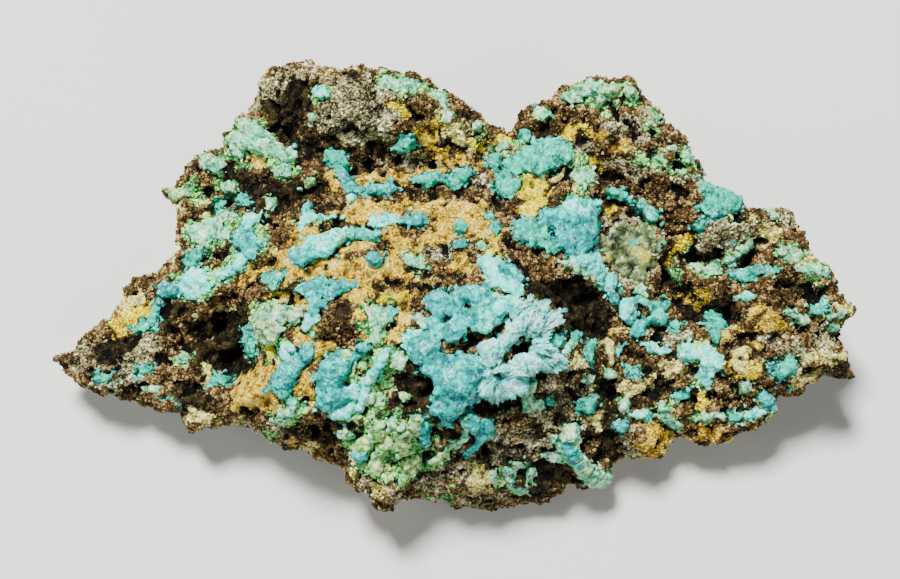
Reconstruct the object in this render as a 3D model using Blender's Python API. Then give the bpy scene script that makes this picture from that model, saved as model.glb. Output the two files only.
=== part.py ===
# Aurichalcite on limonite matrix: a jagged hand specimen lying on its broken underside.
# Metres, +Z up, +X along the long way. The origin is under the middle, on the rest plane.
import math

import bmesh
import bpy
import numpy as np
from mathutils import Vector, noise
from mathutils.bvhtree import BVHTree

MM = 0.001

# Places on the top are measured along a sight line that looks down from the front:
# across to the right and up the sloping face, both in mm from the middle of the specimen.
SIGHT_TILT = math.radians(74.0)

MATRIX_DIVISIONS = 5
EDGE_ROUNDING = math.radians(20.0)
PLAN_POWER = 0.8
COARSE_LUMP, COARSE_PITCH = 1.1, 6.5
MEDIUM_LUMP, MEDIUM_PITCH = 0.7, 2.7
WANDER_OFFSETS = (Vector((0.0, 0.0, 0.0)), Vector((9.3, 1.5, 7.9)), Vector((3.7, 6.1, 2.4)))
FOOT_SINK = 0.6

CRUST_GAP = 0.35
CRUST_EDGE_ANGLE = math.radians(38.0)
CRUST_EDGE_POWER = 0.6
CRUST_SWELL, CRUST_SWELL_PITCH = 0.35, 1.6
SHARP_ANGLE = math.radians(50.0)
FOOTPRINT_PROBE = 0.75
PROBES_AROUND = 10
PROBE_HEIGHT = 60.0

# The rim, clockwise from the left tip: across, up, height of its upper edge, height of its lower edge.
RIM = [
    (-31.2, -5.4, 6.5, 4.0), (-29.0, -3.6, 6.5, 3.5), (-27.0, -1.8, 7.0, 3.5), (-26.0, 0.0, 7.5, 4.0),
    (-24.0, 1.0, 8.0, 4.0), (-22.0, 2.7, 8.5, 4.0), (-22.0, 6.0, 8.5, 4.0), (-23.0, 7.8, 8.5, 5.5),
    (-21.3, 8.8, 9.0, 4.5), (-20.5, 10.6, 9.5, 4.5), (-18.2, 11.0, 10.5, 4.5), (-17.6, 12.6, 11.5, 5.0),
    (-16.2, 14.2, 12.5, 5.0), (-15.0, 17.0, 14.0, 5.5), (-13.2, 18.0, 14.5, 6.0), (-11.6, 18.2, 15.0, 6.0),
    (-9.2, 17.5, 15.5, 5.5), (-6.0, 17.5, 16.0, 5.5), (-3.8, 17.3, 15.5, 5.0), (-1.6, 16.4, 15.0, 4.5),
    (0.8, 15.4, 14.0, 4.0), (2.6, 13.8, 12.5, 4.0), (4.0, 12.7, 11.5, 4.0), (5.2, 13.0, 12.0, 4.5),
    (6.3, 14.5, 13.5, 5.0), (8.2, 15.5, 14.5, 5.5), (11.2, 16.8, 15.5, 6.0), (13.2, 16.8, 15.5, 6.5),
    (15.0, 16.0, 15.0, 6.5), (16.6, 14.2, 14.5, 6.5), (18.7, 12.0, 14.0, 7.0), (20.0, 9.8, 13.5, 7.0),
    (21.6, 8.0, 13.0, 7.0), (25.0, 6.5, 12.5, 7.0), (27.4, 6.4, 12.0, 7.5), (28.0, 4.0, 11.5, 7.0),
    (29.2, 2.3, 11.5, 7.0), (31.0, 0.0, 11.0, 7.0), (32.5, -1.8, 10.5, 7.5), (31.0, -3.4, 10.5, 6.5),
    (32.0, -5.6, 9.5, 6.5), (31.4, -7.1, 9.0, 6.0), (29.2, -7.3, 8.5, 5.0), (26.6, -8.4, 8.0, 4.5),
    (25.8, -9.8, 7.5, 4.5), (23.2, -11.4, 7.0, 4.0), (21.2, -12.3, 6.5, 3.5), (18.5, -11.9, 6.0, 2.5),
    (16.8, -13.0, 5.5, 2.5), (13.3, -13.9, 5.0, 1.5), (11.8, -15.6, 4.5, 1.0), (9.6, -15.6, 4.5, 0.5),
    (7.2, -16.8, 4.5, 0.0), (4.0, -17.3, 4.5, 0.0), (0.8, -17.0, 5.0, 0.0), (-2.2, -16.4, 7.0, 1.0),
    (-5.3, -17.5, 9.0, 4.5), (-7.2, -15.8, 9.5, 4.0), (-9.0, -13.9, 9.5, 3.0), (-12.0, -12.8, 9.0, 2.5),
    (-14.7, -11.8, 8.5, 2.5), (-17.2, -11.0, 7.5, 2.5), (-20.6, -11.1, 7.0, 3.0), (-21.8, -9.8, 6.5, 3.0),
    (-25.0, -9.1, 6.0, 3.0), (-29.0, -8.0, 6.0, 3.5), (-30.8, -6.6, 6.0, 4.0),
]

# Heights of the upper surface, each at its own place: across, up, height.
CROWN = [
    (-12.5, 15.5, 15.2), (-8.0, 14.5, 16.2), (-4.0, 14.5, 16.0), (0.0, 13.0, 14.8), (-13.5, 12.0, 13.0),
    (-10.0, 11.0, 12.8), (-5.0, 11.2, 13.0), (0.5, 10.4, 12.6), (2.6, 11.4, 12.0),
    (-8.5, 8.4, 11.8), (-3.0, 8.0, 12.0), (2.0, 7.8, 12.2), (-12.5, 8.0, 12.0),
    (-12.0, 5.0, 13.2), (-8.5, 5.6, 13.8), (-4.0, 5.2, 14.4), (0.5, 5.0, 14.6),
    (-16.5, 11.0, 11.8), (-19.0, 9.2, 9.8), (-18.3, 6.7, 7.2), (-16.0, 7.0, 11.2), (-19.5, 4.2, 9.2),
    (-16.0, 3.4, 11.8), (-14.0, 0.8, 13.0), (-18.0, 0.2, 9.4), (-22.0, -0.4, 8.4), (-25.5, -3.2, 8.0),
    (-28.5, -5.6, 7.4), (-25.0, -6.6, 7.0), (-21.0, -5.8, 6.8), (-18.0, -3.4, 6.2), (-17.6, -6.4, 7.4),
    (-16.0, -2.0, 12.8), (-14.2, -3.2, 13.8), (-11.0, 0.0, 14.8), (-9.0, -2.6, 15.8), (-6.0, 1.5, 15.2),
    (-5.5, -3.4, 15.6), (-2.0, 2.2, 15.8), (2.0, 3.6, 15.4), (5.0, 4.4, 14.8), (-1.0, -1.0, 16.4),
    (3.0, -0.5, 16.6), (6.5, -2.0, 16.6), (1.0, -4.5, 16.4), (5.5, -5.5, 16.4), (8.0, -4.6, 15.6),
    (7.4, -8.4, 12.4), (2.0, -9.0, 14.4), (-1.6, -8.4, 14.6), (-5.0, -7.6, 14.4), (-9.0, -8.4, 13.4),
    (-12.6, -7.0, 13.4), (-15.8, -8.6, 10.6), (-12.5, -10.6, 10.8), (-8.0, -11.6, 11.0), (-4.6, -12.4, 11.4),
    (-1.5, -12.8, 10.4), (-5.0, -15.6, 10.0), (1.5, -13.4, 8.6), (4.5, -12.0, 9.6), (4.0, -15.4, 6.6),
    (8.6, -10.8, 9.2), (9.0, -14.0, 6.4), (12.0, -11.5, 7.4), (12.0, -7.0, 9.8), (16.0, -10.4, 7.2),
    (9.6, 5.0, 14.8), (7.0, 7.2, 14.0), (5.0, 8.6, 13.2), (6.6, 10.8, 12.6), (10.2, 8.4, 13.8),
    (9.4, 12.8, 14.6), (13.0, 14.0, 15.8), (16.4, 11.4, 14.8), (13.0, 10.4, 13.8), (14.6, 7.2, 11.8),
    (14.4, 3.4, 10.0), (12.6, 0.8, 12.0), (10.6, -1.8, 12.8), (17.6, 4.6, 11.4), (19.4, 7.4, 13.4),
    (18.6, 1.8, 10.2), (15.4, -2.0, 9.2), (19.4, -1.8, 9.2), (22.6, 4.6, 13.2), (24.4, 3.0, 10.6),
    (26.6, 3.8, 12.4), (24.6, 1.0, 12.2), (28.6, 0.6, 11.8), (24.0, -1.6, 10.6), (28.0, -2.4, 10.6),
    (21.0, -4.8, 9.6), (24.8, -5.0, 10.4), (28.6, -5.4, 10.2), (16.0, -5.6, 8.4), (19.0, -7.6, 8.2),
    (22.6, -8.8, 8.0),
]

# Heights of the underside in plan: x, y, height. What would lie below the rest plane is broken flat.
UNDERSIDE = [
    (-24.0, -3.0, 3.2), (-18.0, 4.0, 3.4), (-18.0, -5.0, 2.0), (-12.0, 8.0, 3.0), (-12.0, -3.0, -0.6),
    (-8.0, -8.0, 0.6), (-6.0, 3.0, -1.4), (-2.0, 8.0, 1.4), (0.0, -4.0, -2.6), (2.0, -12.0, -1.2),
    (8.0, -8.0, -2.0), (8.0, 3.0, -1.2), (9.0, 9.0, 3.0), (15.0, -2.0, -0.4), (15.0, 6.0, 3.4),
    (21.0, -3.0, 3.4), (22.0, 3.0, 5.0), (27.0, 0.0, 5.8), (18.0, -8.0, 1.6), (-16.0, 0.0, 1.2),
]

# Crusts: name, thickness, divisions, and the outline in order around it, across and up.
CRUSTS = [
    ("aurichalcite_main", 1.7, 4, [
        (-2.0, -0.2), (0.0, 0.3), (2.2, 2.0), (4.0, 2.8), (5.8, 1.2), (7.6, -0.8), (9.1, -2.3), (9.3, -4.4),
        (8.8, -6.8), (6.4, -8.5), (3.6, -8.8), (1.6, -10.7), (-0.4, -10.0), (-1.4, -8.0), (-3.0, -5.6),
        (-2.9, -2.8)]),
    ("saddle_nugget", 1.9, 3, [
        (5.2, 5.4), (6.4, 6.0), (7.6, 7.2), (9.6, 7.6), (11.6, 7.1), (12.0, 5.2), (11.8, 3.2), (12.2, 1.2),
        (11.8, -0.4), (10.8, 0.1), (9.6, 1.7), (8.2, 2.8), (6.8, 3.6), (5.4, 4.0)]),
    ("notch_crust", 0.9, 3, [
        (4.2, 11.2), (5.6, 11.7), (7.6, 11.8), (9.4, 11.4), (9.3, 10.0), (7.6, 9.1), (5.8, 9.3), (5.2, 8.0),
        (4.4, 7.0), (3.5, 7.6), (3.5, 9.6)]),
    ("cliff_crust", 0.9, 3, [
        (-16.0, -1.6), (-14.8, -1.1), (-13.2, -1.2), (-12.4, -2.0), (-12.5, -3.6), (-13.8, -4.6),
        (-15.0, -4.9), (-16.0, -4.6), (-16.3, -3.1)]),
    ("front_crust", 1.1, 3, [
        (-10.4, -5.8), (-9.2, -5.2), (-8.2, -5.6), (-8.0, -7.2), (-6.4, -7.9), (-5.9, -9.2), (-7.2, -10.2),
        (-9.2, -10.2), (-10.2, -9.2), (-10.5, -7.6)]),
    ("front_fan", 1.0, 3, [
        (-8.2, -12.0), (-6.8, -11.2), (-5.2, -11.1), (-3.4, -11.0), (-2.2, -11.2), (-1.6, -12.2),
        (-1.9, -13.6), (-3.6, -14.6), (-6.0, -14.6), (-7.4, -13.6)]),
    ("quartz_mass", 1.0, 3, [
        (13.5, 5.2), (14.2, 5.9), (15.6, 5.8), (16.6, 4.4), (16.6, 2.2), (15.6, 0.8), (14.3, 0.4),
        (13.7, 1.2), (13.5, 3.0)]),
    ("shoulder_crust", 0.8, 2, [
        (-16.2, 12.0), (-15.6, 13.0), (-14.4, 13.2), (-13.2, 12.2), (-12.6, 11.0), (-12.8, 9.8),
        (-14.0, 9.4), (-15.4, 9.6), (-16.2, 10.6)]),
    ("left_slab", 0.9, 2, [
        (-12.0, 0.0), (-11.2, 0.7), (-10.0, 0.5), (-8.8, 0.7), (-7.9, 0.1), (-8.6, -0.7), (-9.8, -1.0),
        (-10.3, -2.0), (-11.0, -3.0), (-11.6, -2.6), (-11.6, -1.5)]),
    ("left_arc_slab", 0.8, 2, [
        (-12.6, 3.2), (-12.0, 4.2), (-10.0, 4.6), (-8.0, 4.5), (-6.0, 4.3), (-6.0, 3.8), (-8.0, 3.4),
        (-9.2, 2.8), (-11.2, 2.3), (-12.4, 2.4)]),
    ("upper_arc_strip", 0.8, 2, [
        (-6.4, 5.6), (-5.4, 6.1), (-3.8, 6.1), (-2.0, 6.1), (-1.6, 5.5), (-2.6, 5.1), (-4.4, 5.0), (-6.0, 5.1)]),
    ("valley_strip_left", 0.7, 2, [
        (-9.2, 10.2), (-8.2, 10.5), (-7.2, 9.4), (-6.2, 8.5), (-4.4, 8.4), (-4.4, 7.6), (-6.4, 7.4),
        (-8.0, 7.8), (-9.0, 9.0)]),
    ("valley_strip_right", 0.7, 2, [
        (-3.2, 8.8), (-2.0, 9.4), (-0.2, 9.3), (1.2, 9.6), (2.5, 9.3), (2.3, 8.3), (0.4, 8.1), (-1.6, 8.1),
        (-3.0, 8.2)]),
    ("front_left_slab", 0.9, 2, [
        (-11.9, -4.8), (-11.1, -4.8), (-11.3, -6.0), (-12.0, -7.4), (-13.0, -8.8), (-14.0, -8.6),
        (-13.8, -7.2), (-12.8, -5.8)]),
    ("mint_ridge", 0.8, 2, [
        (-6.3, -4.6), (-5.2, -3.9), (-4.4, -4.8), (-4.6, -6.4), (-4.5, -7.8), (-5.0, -8.4), (-5.7, -7.2),
        (-6.5, -6.2)]),
    ("left_edge_crust", 0.7, 2, [
        (-22.4, 0.0), (-21.6, 1.0), (-20.0, 1.2), (-18.6, 0.6), (-18.9, -0.6), (-20.8, -0.8), (-22.0, -0.8)]),
    ("shoulder_patch", 0.7, 2, [
        (-20.6, 4.5), (-19.4, 5.2), (-17.6, 4.9), (-15.4, 4.6), (-15.0, 3.8), (-16.8, 3.2), (-19.0, 3.5),
        (-20.4, 3.7)]),
    ("right_edge_crust", 0.8, 2, [
        (20.6, 7.4), (21.7, 7.5), (23.0, 6.6), (22.8, 5.8), (21.4, 5.7), (20.4, 6.3)]),
    ("wing_crust", 0.7, 2, [
        (22.4, 1.9), (24.0, 2.3), (26.0, 2.2), (26.8, 1.6), (25.6, 0.8), (23.6, 0.8)]),
    ("hollow_crust", 0.9, 2, [
        (13.5, -1.3), (14.8, -0.8), (16.2, -1.0), (17.2, -2.0), (16.6, -3.1), (15.2, -3.4), (13.9, -2.8)]),
    ("lower_right_crust", 0.8, 2, [
        (8.2, -11.8), (9.2, -11.3), (10.6, -11.6), (11.6, -12.6), (12.0, -13.8), (11.0, -14.4),
        (9.6, -14.0), (8.4, -13.0)]),
]

LIMONITE = ("limonite", (0.26, 0.17, 0.085, 1.0), 0.85)
TURQUOISE = ("aurichalcite", (0.16, 0.72, 0.74, 1.0), 0.5)
MINT = ("pale_aurichalcite", (0.45, 0.76, 0.60, 1.0), 0.6)
QUARTZ = ("clear_crust", (0.62, 0.66, 0.54, 1.0), 0.35)
MINT_CRUSTS = {
    "cliff_crust", "front_fan", "shoulder_crust", "mint_ridge", "left_edge_crust", "right_edge_crust",
    "lower_right_crust",
}


def clear_scene():
    for old in list(bpy.data.objects):
        bpy.data.objects.remove(old, do_unlink=True)


def part_collection():
    collection = bpy.data.collections.new("aurichalcite_specimen")
    bpy.context.scene.collection.children.link(collection)
    return collection


def make_material(name, colour, roughness):
    material = bpy.data.materials.new(name)
    material.use_nodes = True
    shader = material.node_tree.nodes["Principled BSDF"]
    shader.inputs["Base Color"].default_value = colour
    shader.inputs["Roughness"].default_value = roughness
    shader.inputs["Metallic"].default_value = 0.0
    material.diffuse_color = colour
    return material


def plan_point(across, up, height):
    # A place seen along the sight line, moved down it to the given height.
    return across, (up - height * math.cos(SIGHT_TILT)) / math.sin(SIGHT_TILT)


def height_field(places):
    # A smooth surface through the given x, y, height places.
    places = np.array(places)
    spread = np.linalg.norm(places[:, None, :2] - places[None, :, :2], axis=2)
    level = places[:, 2].mean()
    weights = np.linalg.solve(spread, places[:, 2] - level)

    def height(x, y):
        return level + float(np.hypot(places[:, 0] - x, places[:, 1] - y) @ weights)
    return height


def rim_reach():
    # How far the rim is from the middle in each direction of the plan.
    polar = []
    for across, up, upper, lower in RIM:
        x, y = plan_point(across, up, (upper + lower) / 2)
        polar.append((math.atan2(y, x), math.hypot(x, y)))
    polar.sort()
    angles = np.array([angle for angle, reach in polar])
    reaches = np.array([reach for angle, reach in polar])
    return lambda angle: float(np.interp(angle, angles, reaches, period=2 * math.pi))


def surfaces():
    upper = [(*plan_point(across, up, top), top) for across, up, top in CROWN]
    lower = list(UNDERSIDE)
    for across, up, top, bottom in RIM:
        x, y = plan_point(across, up, (top + bottom) / 2)
        upper.append((x, y, top))
        lower.append((x, y, bottom))
    return height_field(upper), height_field(lower)


def wander(place):
    # A smooth push in all three directions.
    return Vector([noise.noise(place + offset) for offset in WANDER_OFFSETS])


def lumps(place):
    return wander(place / COARSE_PITCH) * COARSE_LUMP + wander(place / MEDIUM_PITCH) * MEDIUM_LUMP


def sphere_mesh(divisions):
    mesh = bmesh.new()
    bmesh.ops.create_icosphere(mesh, subdivisions=divisions, radius=1.0)
    return mesh


def matrix_mesh():
    # A sphere whose equator is carried to the rim, and whose halves become the top and the underside.
    reach = rim_reach()
    top, underside = surfaces()
    mesh = sphere_mesh(MATRIX_DIVISIONS)
    for vertex in mesh.verts:
        x, y, z = vertex.co
        angle = math.atan2(y, x)
        fraction = math.hypot(x, y) ** PLAN_POWER
        side = reach(angle) * fraction
        plan_x, plan_y = side * math.cos(angle), side * math.sin(angle)
        high, low = top(plan_x, plan_y), underside(plan_x, plan_y)
        climb = min(1.0, abs(math.asin(max(-1.0, min(1.0, z)))) / EDGE_ROUNDING)
        lift = math.copysign(math.sin(climb * math.pi / 2), z)
        place = Vector((plan_x, plan_y, (high + low) / 2 + (high - low) / 2 * lift))
        place += lumps(place)
        place.z = max(place.z - FOOT_SINK, 0.0)
        vertex.co = place
    return mesh


def centre_in_plan(mesh):
    # Moves the matrix so that its box is centred on the origin, and returns the move.
    xs = [vertex.co.x for vertex in mesh.verts]
    ys = [vertex.co.y for vertex in mesh.verts]
    shift = Vector((-(min(xs) + max(xs)) / 2, -(min(ys) + max(ys)) / 2, 0.0))
    bmesh.ops.translate(mesh, verts=mesh.verts, vec=shift)
    return shift


def sight_hit(tree, across, up, shift):
    toward = Vector((0.0, math.cos(SIGHT_TILT), -math.sin(SIGHT_TILT)))
    across_up = Vector((across, up * math.sin(SIGHT_TILT), up * math.cos(SIGHT_TILT))) + shift
    hit = tree.ray_cast(across_up - toward * PROBE_HEIGHT, toward)[0]
    return hit


def ground_under(tree, x, y):
    # The highest matrix within a small footprint, so that a crust's underside stays clear of it.
    heights = []
    for step in range(PROBES_AROUND + 1):
        radius = FOOTPRINT_PROBE if step else 0.0
        angle = 2 * math.pi * step / PROBES_AROUND
        start = Vector((x + radius * math.cos(angle), y + radius * math.sin(angle), PROBE_HEIGHT))
        hit = tree.ray_cast(start, Vector((0.0, 0.0, -1.0)))[0]
        if hit is not None:
            heights.append(hit.z)
    return max(heights)


def crust_mesh(tree, outline, thickness, divisions, shift):
    # A flattened sphere draped over the matrix, with its equator carried to the outline.
    rim = [sight_hit(tree, across, up, shift) for across, up in outline]
    middle = sum(rim, Vector()) / len(rim)
    polar = sorted((math.atan2(p.y - middle.y, p.x - middle.x),
                    math.hypot(p.x - middle.x, p.y - middle.y)) for p in rim)
    angles, reaches = zip(*polar)
    mesh = sphere_mesh(divisions)
    for vertex in mesh.verts:
        x, y, z = vertex.co
        angle = math.atan2(y, x)
        reach = float(np.interp(angle, angles, reaches, period=2 * math.pi)) * math.hypot(x, y)
        place_x, place_y = middle.x + reach * math.cos(angle), middle.y + reach * math.sin(angle)
        ground = ground_under(tree, place_x, place_y) + CRUST_GAP
        rise = min(1.0, max(z, 0.0) / math.sin(CRUST_EDGE_ANGLE)) ** CRUST_EDGE_POWER
        swell = 1.0 + CRUST_SWELL * noise.noise(Vector((place_x, place_y, 0.0)) / CRUST_SWELL_PITCH)
        vertex.co = Vector((place_x, place_y, ground + thickness * rise * swell))
    return mesh


def add_object(name, mesh, material, collection):
    bmesh.ops.recalc_face_normals(mesh, faces=mesh.faces)
    bmesh.ops.scale(mesh, vec=(MM, MM, MM), verts=mesh.verts)
    data = bpy.data.meshes.new(name)
    mesh.to_mesh(data)
    mesh.free()
    data.materials.append(material)
    data.shade_smooth()
    data.set_sharp_from_angle(angle=SHARP_ANGLE)
    made = bpy.data.objects.new(name, data)
    collection.objects.link(made)
    return made


def main():
    clear_scene()
    collection = part_collection()
    materials = {look[0]: make_material(*look) for look in (LIMONITE, TURQUOISE, MINT, QUARTZ)}
    matrix = matrix_mesh()
    shift = centre_in_plan(matrix)
    tree = BVHTree.FromBMesh(matrix)
    add_object("matrix", matrix, materials["limonite"], collection)
    for name, thickness, divisions, outline in CRUSTS:
        look = "pale_aurichalcite" if name in MINT_CRUSTS else "aurichalcite"
        if name == "quartz_mass":
            look = "clear_crust"
        crust = crust_mesh(tree, outline, thickness, divisions, shift)
        add_object(name, crust, materials[look], collection)


main()
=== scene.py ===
import math

import bmesh
import bpy
import numpy as np
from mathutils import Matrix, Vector, noise
from mathutils.bvhtree import BVHTree
from mathutils.kdtree import KDTree


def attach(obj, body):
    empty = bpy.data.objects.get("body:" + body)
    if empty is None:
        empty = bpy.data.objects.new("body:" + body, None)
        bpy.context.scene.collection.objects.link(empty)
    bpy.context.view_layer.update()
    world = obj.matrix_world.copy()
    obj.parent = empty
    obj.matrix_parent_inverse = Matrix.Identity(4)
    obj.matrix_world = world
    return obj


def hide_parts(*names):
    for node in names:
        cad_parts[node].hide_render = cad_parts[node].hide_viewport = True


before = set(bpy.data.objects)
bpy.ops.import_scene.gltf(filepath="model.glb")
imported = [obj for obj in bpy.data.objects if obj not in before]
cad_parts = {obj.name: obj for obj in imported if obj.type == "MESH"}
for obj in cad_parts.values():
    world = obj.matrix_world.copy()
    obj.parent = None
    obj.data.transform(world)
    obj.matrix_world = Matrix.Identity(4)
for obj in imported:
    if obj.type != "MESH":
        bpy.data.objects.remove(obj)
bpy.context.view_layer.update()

mm = 0.001
tiny = 1e-9
farOff = 1e9
ballReach = 0.75  # of a ball in a cluster, as a share of the distance between two of them

sight = {
    "tilt": math.radians(74.0),  # how steeply the camera looks down
    "lens": 70.0,
    "sensor": 36.0,
    "frame": (900.0, 579.0),
    "aim": (-0.45, 1.61, 0.0),  # mm, on the rest plane
    "distance": 148.0,  # mm
    "clip": (0.005, 10.0),  # m
}
sightRight = np.array([1.0, 0.0, 0.0])
sightUp = np.array([0.0, math.sin(sight["tilt"]), math.cos(sight["tilt"])])
sightBack = np.array([0.0, -math.cos(sight["tilt"]), math.sin(sight["tilt"])])
eye = np.array(sight["aim"]) + sightBack * sight["distance"]
pixelReach = sight["frame"][0] * sight["lens"] / sight["sensor"]
frameMiddle = np.array(sight["frame"]) / 2


def toPicture(points):
    # mm places to picture coordinates and depth along the sight line
    away = points - eye
    depth = -(away @ sightBack)
    across = frameMiddle[0] + pixelReach * (away @ sightRight) / depth
    down = frameMiddle[1] - pixelReach * (away @ sightUp) / depth
    return np.stack([across, down], axis=1), depth


def sightRay(across, down):
    ray = ((across - frameMiddle[0]) * sightRight - (down - frameMiddle[1]) * sightUp) / pixelReach
    return Vector(ray - sightBack).normalized()


def smoothStep(low, high, value):
    share = np.clip((value - low) / (high - low), 0.0, 1.0)
    return share * share * (3.0 - 2.0 * share)


def runDistance(spots, start, end):
    # How far each spot is from the straight run between two corners.
    run = end - start
    share = np.clip(((spots - start) @ run) / (run @ run), 0.0, 1.0)
    return np.linalg.norm(spots - start - share[:, None] * run, axis=1)


def cornersOf(shape):
    return np.array(shape, float).reshape(-1, 2)


def pathDistance(spots, path):
    corners = cornersOf(path)
    nearest = np.full(len(spots), farOff)
    for start, end in zip(corners[:-1], corners[1:]):
        nearest = np.minimum(nearest, runDistance(spots, start, end))
    return nearest


def shapeDepth(spots, shape):
    # How far each spot is inside a closed outline, or inside an oval (across, down, half sizes, turn).
    if not isinstance(shape, list):
        across, down, wide, tall, turn = shape
        cosTurn, sinTurn = math.cos(math.radians(turn)), math.sin(math.radians(turn))
        x, y = spots[:, 0] - across, spots[:, 1] - down
        along, over = x * cosTurn + y * sinTurn, y * cosTurn - x * sinTurn
        return (1.0 - np.hypot(along / wide, over / tall)) * min(wide, tall)
    corners = cornersOf(shape)
    nearest = np.full(len(spots), farOff)
    inside = np.zeros(len(spots), bool)
    for start, end in zip(corners, np.roll(corners, -1, axis=0)):
        nearest = np.minimum(nearest, runDistance(spots, start, end))
        crosses = (start[1] > spots[:, 1]) != (end[1] > spots[:, 1])
        drop = end[1] - start[1]
        slope = (end[0] - start[0]) / (drop if abs(drop) > tiny else tiny)
        inside ^= crosses & (spots[:, 0] < start[0] + (spots[:, 1] - start[1]) * slope)
    return np.where(inside, nearest, -nearest)


def shapeBounds(shape):
    if isinstance(shape, list):
        corners = cornersOf(shape)
        return corners.min(axis=0), corners.max(axis=0)
    reach = max(shape[2], shape[3])
    middle = np.array(shape[:2])
    return middle - reach, middle + reach


def nearShape(spots, shape, reach):
    # The numbers of the spots that are near enough to a shape to matter.
    low, high = shapeBounds(shape)
    return np.flatnonzero(np.all((spots > low - reach) & (spots < high + reach), axis=1))


def meshArrays(mesh):
    points = np.empty(len(mesh.vertices) * 3)
    mesh.vertices.foreach_get("co", points)
    normals = np.empty(len(mesh.vertices) * 3)
    mesh.vertices.foreach_get("normal", normals)
    return points.reshape(-1, 3) / mm, normals.reshape(-1, 3)


def setPoints(mesh, points):
    mesh.vertices.foreach_set("co", (points * mm).ravel())
    mesh.update()


def edgePairs(mesh):
    pairs = np.empty(len(mesh.edges) * 2, int)
    mesh.edges.foreach_get("vertices", pairs)
    return pairs.reshape(-1, 2)


def relax(points, pairs, times):
    # Averages each place with its neighbours.
    count = np.bincount(pairs.ravel(), minlength=len(points))[:, None]
    for step in range(times):
        total = np.stack([
            np.bincount(pairs[:, 0], points[pairs[:, 1], axis], len(points))
            + np.bincount(pairs[:, 1], points[pairs[:, 0], axis], len(points))
            for axis in range(points.shape[1])], axis=1)
        points = 0.5 * points + 0.5 * total / count
    return points


def proudness(mesh, times):
    # Above zero on bumps and ridges, below zero in creases, in mm.
    points, normals = meshArrays(mesh)
    return np.einsum("ij,ij->i", points - relax(points, edgePairs(mesh), times), normals)


def storeColour(mesh, name, red, green, blue):
    layer = mesh.attributes.new(name, "FLOAT_COLOR", "POINT")
    values = np.stack([red, green, blue, np.ones_like(red)], axis=1).astype(np.float32)
    layer.data.foreach_set("color", values.ravel())


def storeValue(mesh, name, values):
    layer = mesh.attributes.new(name, "FLOAT", "POINT")
    layer.data.foreach_set("value", values.astype(np.float32))


def throughModifier(name, mesh, kind, prepare):
    # The plain mesh that a modifier makes of a mesh.
    carrier = bpy.data.objects.new(name, mesh)
    bpy.context.scene.collection.objects.link(carrier)
    modifier = carrier.modifiers.new("shape", kind)
    prepare(modifier)
    bpy.context.view_layer.update()
    ready = carrier.evaluated_get(bpy.context.evaluated_depsgraph_get())
    made = bpy.data.meshes.new_from_object(ready)
    carrier.modifiers.remove(modifier)
    bpy.data.objects.remove(carrier)
    return made


def voxelCopy(mesh, size, name):
    # A closed, even mesh around a mesh or a heap of overlapping bodies.
    def prepare(modifier):
        modifier.mode = "VOXEL"
        modifier.voxel_size = size * mm
    return throughModifier(name, mesh, "REMESH", prepare)


def addPiece(name, mesh, material, replaced, smooth=True):
    mesh.name = name
    mesh.materials.clear()
    mesh.materials.append(material)
    if smooth:
        mesh.shade_smooth()
    else:
        mesh.shade_flat()
    piece = bpy.data.objects.new(name, mesh)
    bpy.context.scene.collection.objects.link(piece)
    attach(piece, "root")
    if replaced:
        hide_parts(*replaced)
    print("piece", name, len(mesh.polygons), "faces")
    return piece


def noiseField(points, pitch, offset):
    shift = Vector(offset)
    return np.array([noise.noise(Vector(point) + shift) for point in points / pitch])


def domeField(points, pitch, offset):
    # Rounded cells like a cluster of balls: half at the middle of a cell, minus half at its edge.
    shift = Vector(offset)
    nearest = np.array([noise.voronoi(Vector(point) + shift)[0][0] for point in points / pitch])
    return np.sqrt(np.clip(1.0 - (nearest / ballReach) ** 2, 0.0, 1.0)) - 0.5


def crackField(points, pitch, offset):
    # 0 along the joints between blocks, rising into each block.
    shift = Vector(offset)
    reach = [noise.voronoi(Vector(point) + shift)[0] for point in points / pitch]
    return np.array([far[1] - far[0] for far in reach])


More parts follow.
